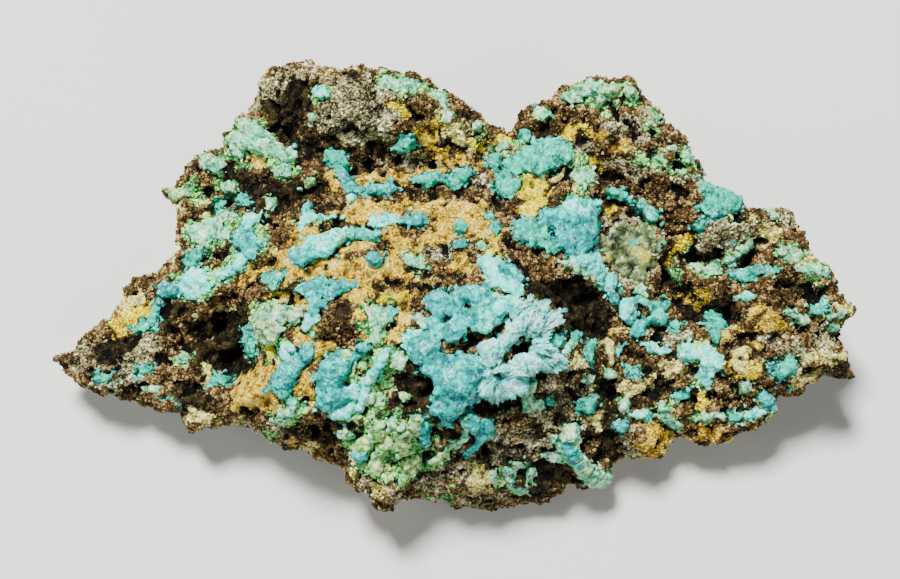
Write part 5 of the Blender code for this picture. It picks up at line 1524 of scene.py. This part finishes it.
def growMesh(name, shapes, ground, seed):
    dice = np.random.default_rng(seed)
    parts, middles, sizes, used = [], [], [], []
    narrow, spread = growthShape["stretch"]
    for tone, height, largest, shape in shapes:
        smallest = growthShape["mintLobe" if tone in sugaryTones else "smallestLobe"]
        pattern = roundBall if tone in roundTones else flatBall
        seats = seatLobes(fillShape(shape, largest, smallest, dice), height, ground, dice)
        seats += seatLobes(strayCrumbs(shape, smallest, dice), growthShape["crumbHeight"], ground, dice)
        for seat in seats:
            squash = seat[1] * np.array([1.0, narrow + spread * dice.random(), growthShape["flatness"]])
            parts += lobeParts(seat, pattern, squash, growthShape["post"], tone, dice)
            middles.append(seat[0])
            sizes.append(seat[1])
            used.append(tone)
    skin = heapMesh(name, parts)
    pairs = edgePairs(skin)
    points, normals = meshArrays(skin)
    owner = lobeOwners(points, middles, sizes)
    away = points - np.array(middles)[owner]
    spoke = away / np.maximum(np.linalg.norm(away, axis=1), tiny)[:, None]
    luck = dice.random(len(middles))
    fibre, crumple, folding = np.array([lobeForm[tone][4:] for tone in used])[owner].T
    apart = luck[owner][:, None] * growthShape["lobeShift"]
    broad, fine = (spoke * turns + apart for turns in growthShape["spokes"])
    ribs = layerOf(broad, "ribs") + growthShape["fineSpokes"] * layerOf(fine, "fineRibs")
    beads = layerOf(points, "sugarBeads", domeField)
    sugar = layerOf(points, "sugar") + growthShape["sugarBeads"] * beads
    strayed = points + growthShape["creaseStray"] * np.stack([sugar, ribs, -sugar], axis=1)
    folds = 1.0 - smoothStep(0.0, growthShape["creaseWidth"], layerOf(strayed, "creases", crackField))
    points = points + normals * (ribs * fibre + sugar * crumple - folds * folding)[:, None]
    steep = 1.0 - smoothStep(*growthShape["steep"], normals @ sightBack)
    points = points + growthShape["fray"] * pushOf(points, "frayX", "frayY", "frayZ") * steep[:, None]
    shares = np.array([toneShares[tone] for tone in used])
    frosty = shares[owner, 3]
    if frosty.max() > fans["frosty"]:
        frosty = smoothStep(*fans["edge"], relax(frosty[:, None], pairs, fans["edgeRounds"])[:, 0])
        away, turn = fanTurn(points)
        around = turn * (fans["across"], fans["across"], 1.0)
        ridges = layerOf(around, "blades") + fans["fineRelief"] * layerOf(around, "fineBlades")
        push = fans["relief"] * (ridges * frosty)[:, None]
        points = points + push * (normals + fans["leaning"] * away)
        spoke = spoke * (1.0 - frosty[:, None]) + turn * frosty[:, None]
    setPoints(skin, points)
    shares = np.clip(shares + (dice.random(shares.shape) - 0.5) * growthShape["toneLuck"], 0.0, 1.0)[owner]
    blended = relax(np.column_stack([shares, luck[owner]]), pairs, growthShape["toneRounds"])
    storeColour(skin, "tonesA", *blended.T[:3])
    storeColour(skin, "tonesB", *blended.T[3:])
    # How proud each place is, from which the material paints shade in creases and highlight on ridges.
    storeValue(skin, "near", proudness(skin, growthShape["nearRounds"]))
    storeValue(skin, "wide", proudness(skin, growthShape["wideRounds"]))
    spoke[:, 0] += growthShape["spokeShift"] * luck[owner]
    storeColour(skin, "spoke", *spoke.T)
    return skin


crust = {
    "grain": 0.26,  # mm
    "cloud": (1.1, 4.0, 0.65, 0.3, 0.7),
    "edge": {"Pitch": 0.9, "Ragged": 0.95, "Sharp": 0.18},
    "edgeShift": (0.006, 0.011, 0.003),  # m, so that no two edges are alike
    "streaks": {"Scale": 9.0, "Detail": 4.0, "Roughness": 0.7},
    "streak": (0.52, 0.7),
    "streakTone": "c8fffc",
    "streakCover": (0.6, 0.02),
    # Painted shade: dark teal in the furrows between the frost's fibres, where the bump lies low.
    "furrow": (0.47, 0.36),
    "furrowShadeTone": "087c8c",
    "furrowShadeCover": 0.45,
    # Painted highlight: white specks on what stands proud.
    "rime": (0.7, 6.0, 0.8, 0.57, 0.62),
    "paintedSheenTone": "e8ffff",
    "paintedSheenCover": (-0.012, 0.012, 0.1, 0.8),
    # Painted shade in the creases and hollows of the crusts, and painted highlight on what stands proud.
    "near": ("024a4e", "50fce8", 0.08, 0.68, 0.3),
    "wide": ("02343a", "60fcec", 0.22, 0.9, 0.22),
    "roughness": (0.3, 4.0, 0.6, 0.32, 0.6),
    "roughRange": (0.3, 0.75),
    "specular": 0.25,
    "streakRise": 0.8,
    "dust": (0.14, 3.0, 0.7),
    "grainRise": 0.25,
    "bump": 0.06,  # mm
    "bumpStrength": 0.9,
}
# Each palette: what it follows, its share of that, its three tones and the depth of the painted shade in its
# gaps.
palettes = [
    ("cyan", 1.0, ("006262", "009690", "04e0d0"), 0.08), ("teal", 1.0, ("045c50", "00b494", "20ecc0"), 0.2),
    ("pale", 1.0, ("0ca898", "30ffe4", "c8fff4"), 0.1), ("mint", 1.0, ("147458", "5ceca8", "dcffcc"), 0.4),
    ("frost", 1.0, ("20a8b4", "68f8f4", "ecffff"), 0.3), ("green", 1.0, ("0c6024", "70d848", "f0ff70"), 0.45),
    ("mint", 0.5, ("907c44", "fcf0a0", "fffff0"), 0.4), ("mint", 0.36, ("0c8c80", "30ecd4", "b0fff0"), 0.3),
    ("mint", 0.39, ("0c0804", "342410", "6c5028"), 0.8), ("frost", 0.41, ("50b890", "b4f4b8", "fcffe8"), 0.2),
]


def aurichalciteMaterial():
    material, tree, shader, place = newMaterial("aurichalcite")
    channels = [channel for layer in ("tonesA", "tonesB") for channel in channelsOf(tree, layer)]
    masks = dict(zip(("teal", "pale", "mint", "frost", "green"), channels))
    bed = useGroup(tree, grainBed, Place=place, Size=crust["grain"])
    cloud = patchOf(tree, place, crust["cloud"])
    layers = []
    for tone, part, codes, gap in palettes:
        own = useGroup(tree, mineral, Luck=bed["Luck"], Cloud=cloud, Gap=bed["Gap"], Shade=gap,
                       **threeTones(codes))[0]
        layers.append((productOf(tree, masks[tone], part) if tone in masks else None, own))
    colour = layered(tree, place, layers, crust)
    spoke = attributeOf(tree, "spoke", "Vector")
    streaks = joinNodes(tree, "ShaderNodeTexNoise", None, Vector=spoke, **crust["streaks"]).outputs["Fac"]
    cover = scaledSum(tree, masks["frost"], *crust["streakCover"])
    streak = productOf(tree, rangeOf(tree, streaks, *crust["streak"]), cover)
    colour = blendOf(tree, streak, colour, shade(crust["streakTone"]))
    # Painted shade in the furrows between fibres.
    furrow = productOf(tree, rangeOf(tree, streaks, *crust["furrow"]), masks["frost"])
    colour = blendOf(tree, productOf(tree, furrow, crust["furrowShadeCover"]), colour, shade(crust["furrowShadeTone"]))
    near = attributeOf(tree, "near")
    # Painted highlight: white specks on proud places.
    rime = productOf(tree, patchOf(tree, place, crust["rime"]), rangeOf(tree, near, *crust["paintedSheenCover"]))
    colour = blendOf(tree, rime, colour, shade(crust["paintedSheenTone"]))
    # Painted shade in creases and painted highlight on ridges.
    colour = withPaintedShadeAndHighlight(tree, colour, near, crust["near"])
    colour = withPaintedShadeAndHighlight(tree, colour, attributeOf(tree, "wide"), crust["wide"])
    tree.links.new(colour, shader["Base Color"])
    tree.links.new(patchOf(tree, place, crust["roughness"], *crust["roughRange"]), shader["Roughness"])
    shader["Specular IOR Level"].default_value = crust["specular"]
    height = scaledSum(tree, streaks, crust["streakRise"], noiseOf(tree, place, *crust["dust"]))
    height = scaledSum(tree, bed["Height"], crust["grainRise"], height)
    bumpInto(tree, shader, height, crust["bump"], crust["bumpStrength"])
    return material


aurichalcite = aurichalciteMaterial()
rockTree = bodyTree(rockSkin)
crustSeed = 100
crusts = {}
for number, (name, shapes) in enumerate(growths.items()):
    skin = growMesh(name, shapes, rockTree, crustSeed + number)
    replaced = [name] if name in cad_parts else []
    first, *others = name.split("_")
    pieceName = first + "".join(word.capitalize() for word in others)
    crusts[name] = addPiece(pieceName, skin, aurichalcite, replaced)


grains = {
    # Each batch: grains for each square mm, least and largest width in mm, mask, seeds, and whether round.
    "rockGrit": (5.1, 0.16, 0.34, "cover", (11, 12, 13), False),
    "rockCrumbs": (3.2, 0.28, 0.56, "cover", (21,), False),
    "goethiteKnobs": (2.4, 0.24, 0.54, "knobCover", (31,), True),
}
block = {
    "forms": 5,
    "cube": 1.4,
    "chipPush": 0.45,
    "ballPush": 0.26,
    "knobPush": 0.2,
    "knobSides": {"Segments": 7, "Rings": 5},
    "fewLarge": 1.8,  # above 1, small grains outnumber large ones
    "narrow": (0.7, 0.7, 0.55),
    "broad": (1.25, 1.15, 1.0),
    "seeds": {"push": 50, "width": 3, "shape": 5, "turn": 7, "luck": 9, "form": 11},
}
fullTurn = (2 * math.pi,) * 3


def namedValue(tree, name, kind="FLOAT"):
    node = joinNodes(tree, "GeometryNodeInputNamedAttribute", {"data_type": kind}, Name=name)
    return node.outputs["Attribute"]


def chanceOf(tree, low, high, seed):
    # A random value, or three of them, for each point or instance.
    three = isinstance(low, tuple)
    pair = {"_0": low, "_1": high} if three else {"_2": low, "_3": high}
    settings = {"data_type": "FLOAT_VECTOR" if three else "FLOAT"}
    return joinNodes(tree, "FunctionNodeRandomValue", settings, Seed=seed, **pair).outputs[0 if three else 1]


def evenChance(tree, reach, seed):
    return chanceOf(tree, (-reach,) * 3, (reach,) * 3, seed)


def pointsOn(tree, ground, mask, given):
    # Points over a surface, as many as its mask says.
    density = productOf(tree, namedValue(tree, mask), given["Density"])
    node = joinNodes(tree, "GeometryNodeDistributePointsOnFaces", {"distribute_method": "RANDOM"},
                     Mesh=ground, Density=density, Seed=given["Seed"])
    return node.outputs["Points"]


def finishTree(tree, copies, material, out):
    real = joinNodes(tree, "GeometryNodeRealizeInstances", None, Geometry=copies)
    finish = joinNodes(tree, "GeometryNodeSetMaterial", None, Geometry=real.outputs[0], Material=material)
    tree.links.new(finish.outputs[0], out["Geometry"])
    return tree


def roughBlocks(tree, rounded):
    # A few round knobs, or broken chips and lumps, each with its corners pushed about.
    heap = tree.nodes.new("GeometryNodeJoinGeometry")
    for number in range(block["forms"]):
        if rounded:
            plain = joinNodes(tree, "GeometryNodeMeshUVSphere", None, Radius=1.0, **block["knobSides"])
            push = block["knobPush"]
        elif number % 2:
            plain = joinNodes(tree, "GeometryNodeMeshIcoSphere", None, Radius=1.0, Subdivisions=1)
            push = block["ballPush"]
        else:
            plain = joinNodes(tree, "GeometryNodeMeshCube", None, Size=(block["cube"],) * 3)
            push = block["chipPush"]
        shift = evenChance(tree, push, block["seeds"]["push"] + number)
        bent = joinNodes(tree, "GeometryNodeSetPosition", None, Geometry=plain.outputs["Mesh"], Offset=shift)
        single = joinNodes(tree, "GeometryNodeGeometryToInstance", None, _0=bent.outputs[0])
        tree.links.new(single.outputs[0], heap.inputs[0])
    return heap.outputs[0]


def grainTree(material, name, rounded):
    # Scatters rough grains over a surface wherever its mask says so.
    tree, given, out = newTree(name, "GeometryNodeTree", [
        ("Ground", "Geometry", None), ("Density", "Float", 1.0), ("Smallest", "Float", 0.2 * mm),
        ("Largest", "Float", 0.5 * mm), ("Mask", "String", "cover"), ("Seed", "Int", 1)],
        [("Geometry", "Geometry")])
    points = pointsOn(tree, given["Ground"], given["Mask"], given)
    seeds = block["seeds"]
    skewed = mathOf(tree, "POWER", chanceOf(tree, 0.0, 1.0, seeds["width"]), block["fewLarge"])
    spread = mathOf(tree, "SUBTRACT", given["Largest"], given["Smallest"])
    width = scaledSum(tree, skewed, spread, given["Smallest"])
    radius = productOf(tree, productOf(tree, width, 0.5), namedValue(tree, "bulk"))
    uneven = chanceOf(tree, block["narrow"], block["broad"], seeds["shape"])
    scale = vectorOf(tree, "SCALE", _0=uneven, _3=radius)
    turn = chanceOf(tree, (0.0, 0.0, 0.0), fullTurn, seeds["turn"])
    rotation = joinNodes(tree, "FunctionNodeEulerToRotation", None, Euler=turn).outputs[0]
    pick = chanceOf(tree, 0.0, float(block["forms"]), seeds["form"])
    copies = joinNodes(tree, "GeometryNodeInstanceOnPoints", None, Points=points,
                       Instance=roughBlocks(tree, rounded), Rotation=rotation, Scale=scale,
                       Pick_Instance=True, Instance_Index=pick)
    marked = joinNodes(tree, "GeometryNodeStoreNamedAttribute", {"data_type": "FLOAT", "domain": "INSTANCE"},
                       Geometry=copies.outputs[0], Name="luck", Value=chanceOf(tree, 0.0, 1.0, seeds["luck"]))
    return finishTree(tree, marked.outputs[0], material, out)


def runTree(name, ground, tree, values):
    # The tree's result over a ground mesh, as a plain mesh.
    def prepare(modifier):
        modifier.node_group = tree
        for item in tree.interface.items_tree:
            if item.in_out == "INPUT" and item.name in values:
                modifier[item.identifier] = values[item.name]
    return throughModifier(name, ground, "NODES", prepare)


looseStone = rockMaterial("looseLimonite", True)
brokenGrains = grainTree(looseStone, "brokenGrains", False)
roundKnobs = grainTree(looseStone, "roundKnobs", True)
for name, (perSquareMm, smallest, largest, mask, seeds, rounded) in grains.items():
    for number, seed in enumerate(seeds, 1):
        made = runTree(name, rockSkin, roundKnobs if rounded else brokenGrains, {
            "Density": perSquareMm / mm ** 2, "Smallest": smallest * mm, "Largest": largest * mm,
            "Mask": mask, "Seed": seed})
        label = name + str(number) if len(seeds) > 1 else name
        addPiece(label, made, looseStone, [], rounded)


def needleTree(material):
    # Fine tapering fibres that lean away from the middle of each rosette.
    tree, given, out = newTree("fanFibres", "GeometryNodeTree", [
        ("Crust", "Geometry", None), ("Density", "Float", 1.0), ("Length", "Float", 0.5 * mm),
        ("Width", "Float", 0.05 * mm), ("Seed", "Int", 1)], [("Geometry", "Geometry")])
    points = pointsOn(tree, given["Crust"], "fibreCover", given)
    cone = joinNodes(tree, "GeometryNodeMeshCone", {"fill_type": "NGON"}, Vertices=3, Side_Segments=1,
                     Fill_Segments=1, Radius_Top=0.0, Radius_Bottom=1.0, Depth=1.0)
    seeds = fans["seeds"]
    lean = namedValue(tree, "fanWay", "FLOAT_VECTOR")
    way = vectorOf(tree, "ADD", _0=lean, _1=evenChance(tree, fans["stray"], seeds["stray"]))
    turned = joinNodes(tree, "FunctionNodeAlignRotationToVector", {"axis": "Z"}, Vector=way)
    reach = productOf(tree, given["Length"], chanceOf(tree, *fans["lengthLuck"], seeds["length"]))
    girth = productOf(tree, given["Width"], chanceOf(tree, *fans["widthLuck"], seeds["width"]))
    thin = productOf(tree, girth, fans["thin"])
    scale = joinNodes(tree, "ShaderNodeCombineXYZ", None, _0=thin, _1=girth, _2=reach)
    copies = joinNodes(tree, "GeometryNodeInstanceOnPoints", None, Points=points,
                       Instance=cone.outputs["Mesh"], Rotation=turned.outputs[0], Scale=scale.outputs[0])
    return finishTree(tree, copies.outputs[0], material, out)


def markFans(mesh):
    # Where the fibres grow, and which way they lean.
    points, normals = meshArrays(mesh)
    away, turn = fanTurn(points)
    toEye, outward = fans["up"]
    lean = away + toEye * sightBack + outward * normals
    frost = np.empty(len(points) * 4, np.float32)
    mesh.attributes["tonesB"].data.foreach_get("color", frost)
    facing = smoothStep(*fans["facing"], normals @ sightBack)
    storeValue(mesh, "fibreCover", smoothStep(*fans["cover"], frost.reshape(-1, 4)[:, 0]) * facing)
    layer = mesh.attributes.new("fanWay", "FLOAT_VECTOR", "POINT")
    layer.data.foreach_set("vector", lean.astype(np.float32).ravel())


mainSkin = crusts["aurichalcite_main"].data
markFans(mainSkin)
fibres = runTree("fanFibres", mainSkin, needleTree(aurichalcite), {
    "Density": fans["perSquareMm"] / mm ** 2, "Length": fans["length"] * mm, "Width": fans["width"] * mm,
    "Seed": fans["seed"]})
addPiece("fanFibres", fibres, aurichalcite, [], False)


quartz = {
    "outline": [592, 242, 600, 231, 606, 238, 612, 226, 624, 220, 631, 228, 641, 221, 656, 225, 660, 236,
                670, 240, 663, 250, 652, 256, 656, 266, 645, 269, 648, 280, 636, 287, 628, 276, 617, 273,
                611, 262, 598, 263, 603, 251],
    "seed": 61,
    "height": 0.25,  # mm
    "largest": 9,  # picture units
    "smallest": 2.2,
    "post": (0.85, 0.85),
    "sugarBeads": 0.8,
    "sugar": 0.12,  # mm
    "proudRounds": 10,
    # Ovals of yellow, dark and mint stains in it.
    "stains": [
        [(637, 250, 7, 5, 20), (645, 257, 6, 6, 0), (606, 258, 6, 5, 0)],
        [(610, 237, 3, 3, 0), (617, 241, 4, 4, 0), (623, 232, 5, 4, 0), (654, 244, 4, 3, 0),
         (632, 264, 5, 3, 20), (652, 262, 4, 3, 0)],
        [(634, 243, 5, 4, 0), (663, 246, 4, 6, 0), (598, 262, 4, 4, 0)],
    ],
    "stainTones": ("e8dc50", "181208", "50f4c8"),
    "stainRange": (-5.0, 4.0),
    "stainCover": 0.8,
    "edge": {"Pitch": 0.7, "Ragged": 2.3, "Sharp": 0.2},
    "grain": 0.4,  # mm
    "cloud": (0.9, 4.0, 0.65, 0.3, 0.7),
    "tones": ("242c10", "7c9c54", "e0f0a8"),
    "luck": 0.85,
    # painted shade in the gaps between grains
    "gap": 0.4,
    # Painted shade in its hollows and painted highlight on what stands proud.
    "crease": ("1c1c0c", "f4ffd0", 0.16, 0.85, 0.25),
    "roughness": (0.3, 4.0, 0.6, 0.3, 0.7),
    "roughRange": (0.12, 0.45),
    "clear": 0.45,
    "bending": 1.54,
    "bump": 0.06,  # mm
    "bumpStrength": 0.7,
}


def quartzMaterial():
    material, tree, shader, place = newMaterial("clearCrust")
    bed = useGroup(tree, grainBed, Place=place, Size=quartz["grain"])
    cloud = patchOf(tree, place, quartz["cloud"])
    luck = productOf(tree, bed["Luck"], quartz["luck"])
    colour = useGroup(tree, mineral, Luck=luck, Cloud=cloud, Gap=bed["Gap"], Shade=quartz["gap"],
                      **threeTones(quartz["tones"]))[0]
    for mask, code in zip(channelsOf(tree, "spots"), quartz["stainTones"]):
        edge = useGroup(tree, brokenEdge, Place=place, Mask=mask, **quartz["edge"])[0]
        colour = blendOf(tree, productOf(tree, edge, quartz["stainCover"]), colour, shade(code))
    # Painted shade in hollows and painted highlight on what stands proud.
    colour = withPaintedShadeAndHighlight(tree, colour, attributeOf(tree, "proud"), quartz["crease"])
    tree.links.new(colour, shader["Base Color"])
    tree.links.new(patchOf(tree, place, quartz["roughness"], *quartz["roughRange"]), shader["Roughness"])
    shader["Transmission Weight"].default_value = quartz["clear"]
    shader["IOR"].default_value = quartz["bending"]
    bumpInto(tree, shader, bed["Height"], quartz["bump"], quartz["bumpStrength"])
    return material


def quartzMesh(ground):
    dice = np.random.default_rng(quartz["seed"])
    lobes = fillShape(quartz["outline"], quartz["largest"], quartz["smallest"], dice)
    parts = []
    for seat in seatLobes(lobes, quartz["height"], ground, dice):
        parts += lobeParts(seat, flatBall, seat[1], quartz["post"], "mint", dice)
    skin = heapMesh("quartzMass", parts)
    points, normals = meshArrays(skin)
    beads = layerOf(points, "clearBeads", domeField)
    sugar = layerOf(points, "clearSugar") + quartz["sugarBeads"] * beads
    setPoints(skin, points + normals * (quartz["sugar"] * sugar)[:, None])
    # How proud each place is, for the painted shade and highlight.
    storeValue(skin, "proud", proudness(skin, quartz["proudRounds"]))
    spots, depth = toPicture(points)
    shares = [np.max([smoothStep(*quartz["stainRange"], shapeDepth(spots, shape)) for shape in group], axis=0)
              for group in quartz["stains"]]
    storeColour(skin, "spots", *shares)
    return skin


addPiece("quartzMass", quartzMesh(rockTree), quartzMaterial(), ["quartz_mass"])


studio = {
    "floorSide": 4.0,  # m
    "floorDrop": 5e-5,
    "floorPatch": 40.0,  # mm
    "floorTones": ("d4d3cf", "d9d8d4"),
    "floorRoughness": 0.85,
    # Each lamp: its name, place and side in m, its watts and its colour.
    "lamps": [
        ("key", (-0.12, 0.22, 0.56), 0.14, 11.0, "ffffff"),
        ("fill", (0.25, -0.42, 0.42), 0.40, 1.7, "fafcff"),
        ("side", (-0.50, -0.05, 0.35), 0.35, 0.7, "fafcff"),
    ],
    "sky": 0.035,
    "skyTone": "eef1f4",
}


def setStudio():
    scene = bpy.context.scene
    lens = bpy.data.cameras.new("camera")
    lens.lens = sight["lens"]
    lens.sensor_width = sight["sensor"]
    lens.clip_start, lens.clip_end = sight["clip"]
    camera = bpy.data.objects.new("camera", lens)
    camera.location = Vector(eye * mm)
    camera.rotation_euler = (math.pi / 2 - sight["tilt"], 0.0, 0.0)
    scene.collection.objects.link(camera)
    scene.camera = camera
    for name, place, side, watts, colour in studio["lamps"]:
        lamp = bpy.data.lights.new(name, "AREA")
        lamp.energy = watts
        lamp.size = side
        lamp.color = shade(colour)[:3]
        holder = bpy.data.objects.new(name, lamp)
        holder.location = place
        holder.rotation_euler = (-Vector(place)).to_track_quat("-Z", "Y").to_euler()
        scene.collection.objects.link(holder)
    scene.world = bpy.data.worlds.new("room")
    scene.world.use_nodes = True
    sky = scene.world.node_tree.nodes["Background"].inputs
    sky["Color"].default_value = shade(studio["skyTone"])
    sky["Strength"].default_value = studio["sky"]


def layFloor():
    half, low = studio["floorSide"] / 2, -studio["floorDrop"]
    sheet = bpy.data.meshes.new("floor")
    sheet.from_pydata([(-half, -half, low), (half, -half, low), (half, half, low), (-half, half, low)], [],
                      [(0, 1, 2, 3)])
    material, tree, shader, place = newMaterial("paleFloor")
    first, second = studio["floorTones"]
    tone = blendOf(tree, noiseOf(tree, place, studio["floorPatch"]), shade(first), shade(second))
    tree.links.new(tone, shader["Base Color"])
    shader["Roughness"].default_value = studio["floorRoughness"]
    sheet.materials.append(material)
    floor = bpy.data.objects.new("floor", sheet)
    bpy.context.scene.collection.objects.link(floor)


setStudio()
layFloor()
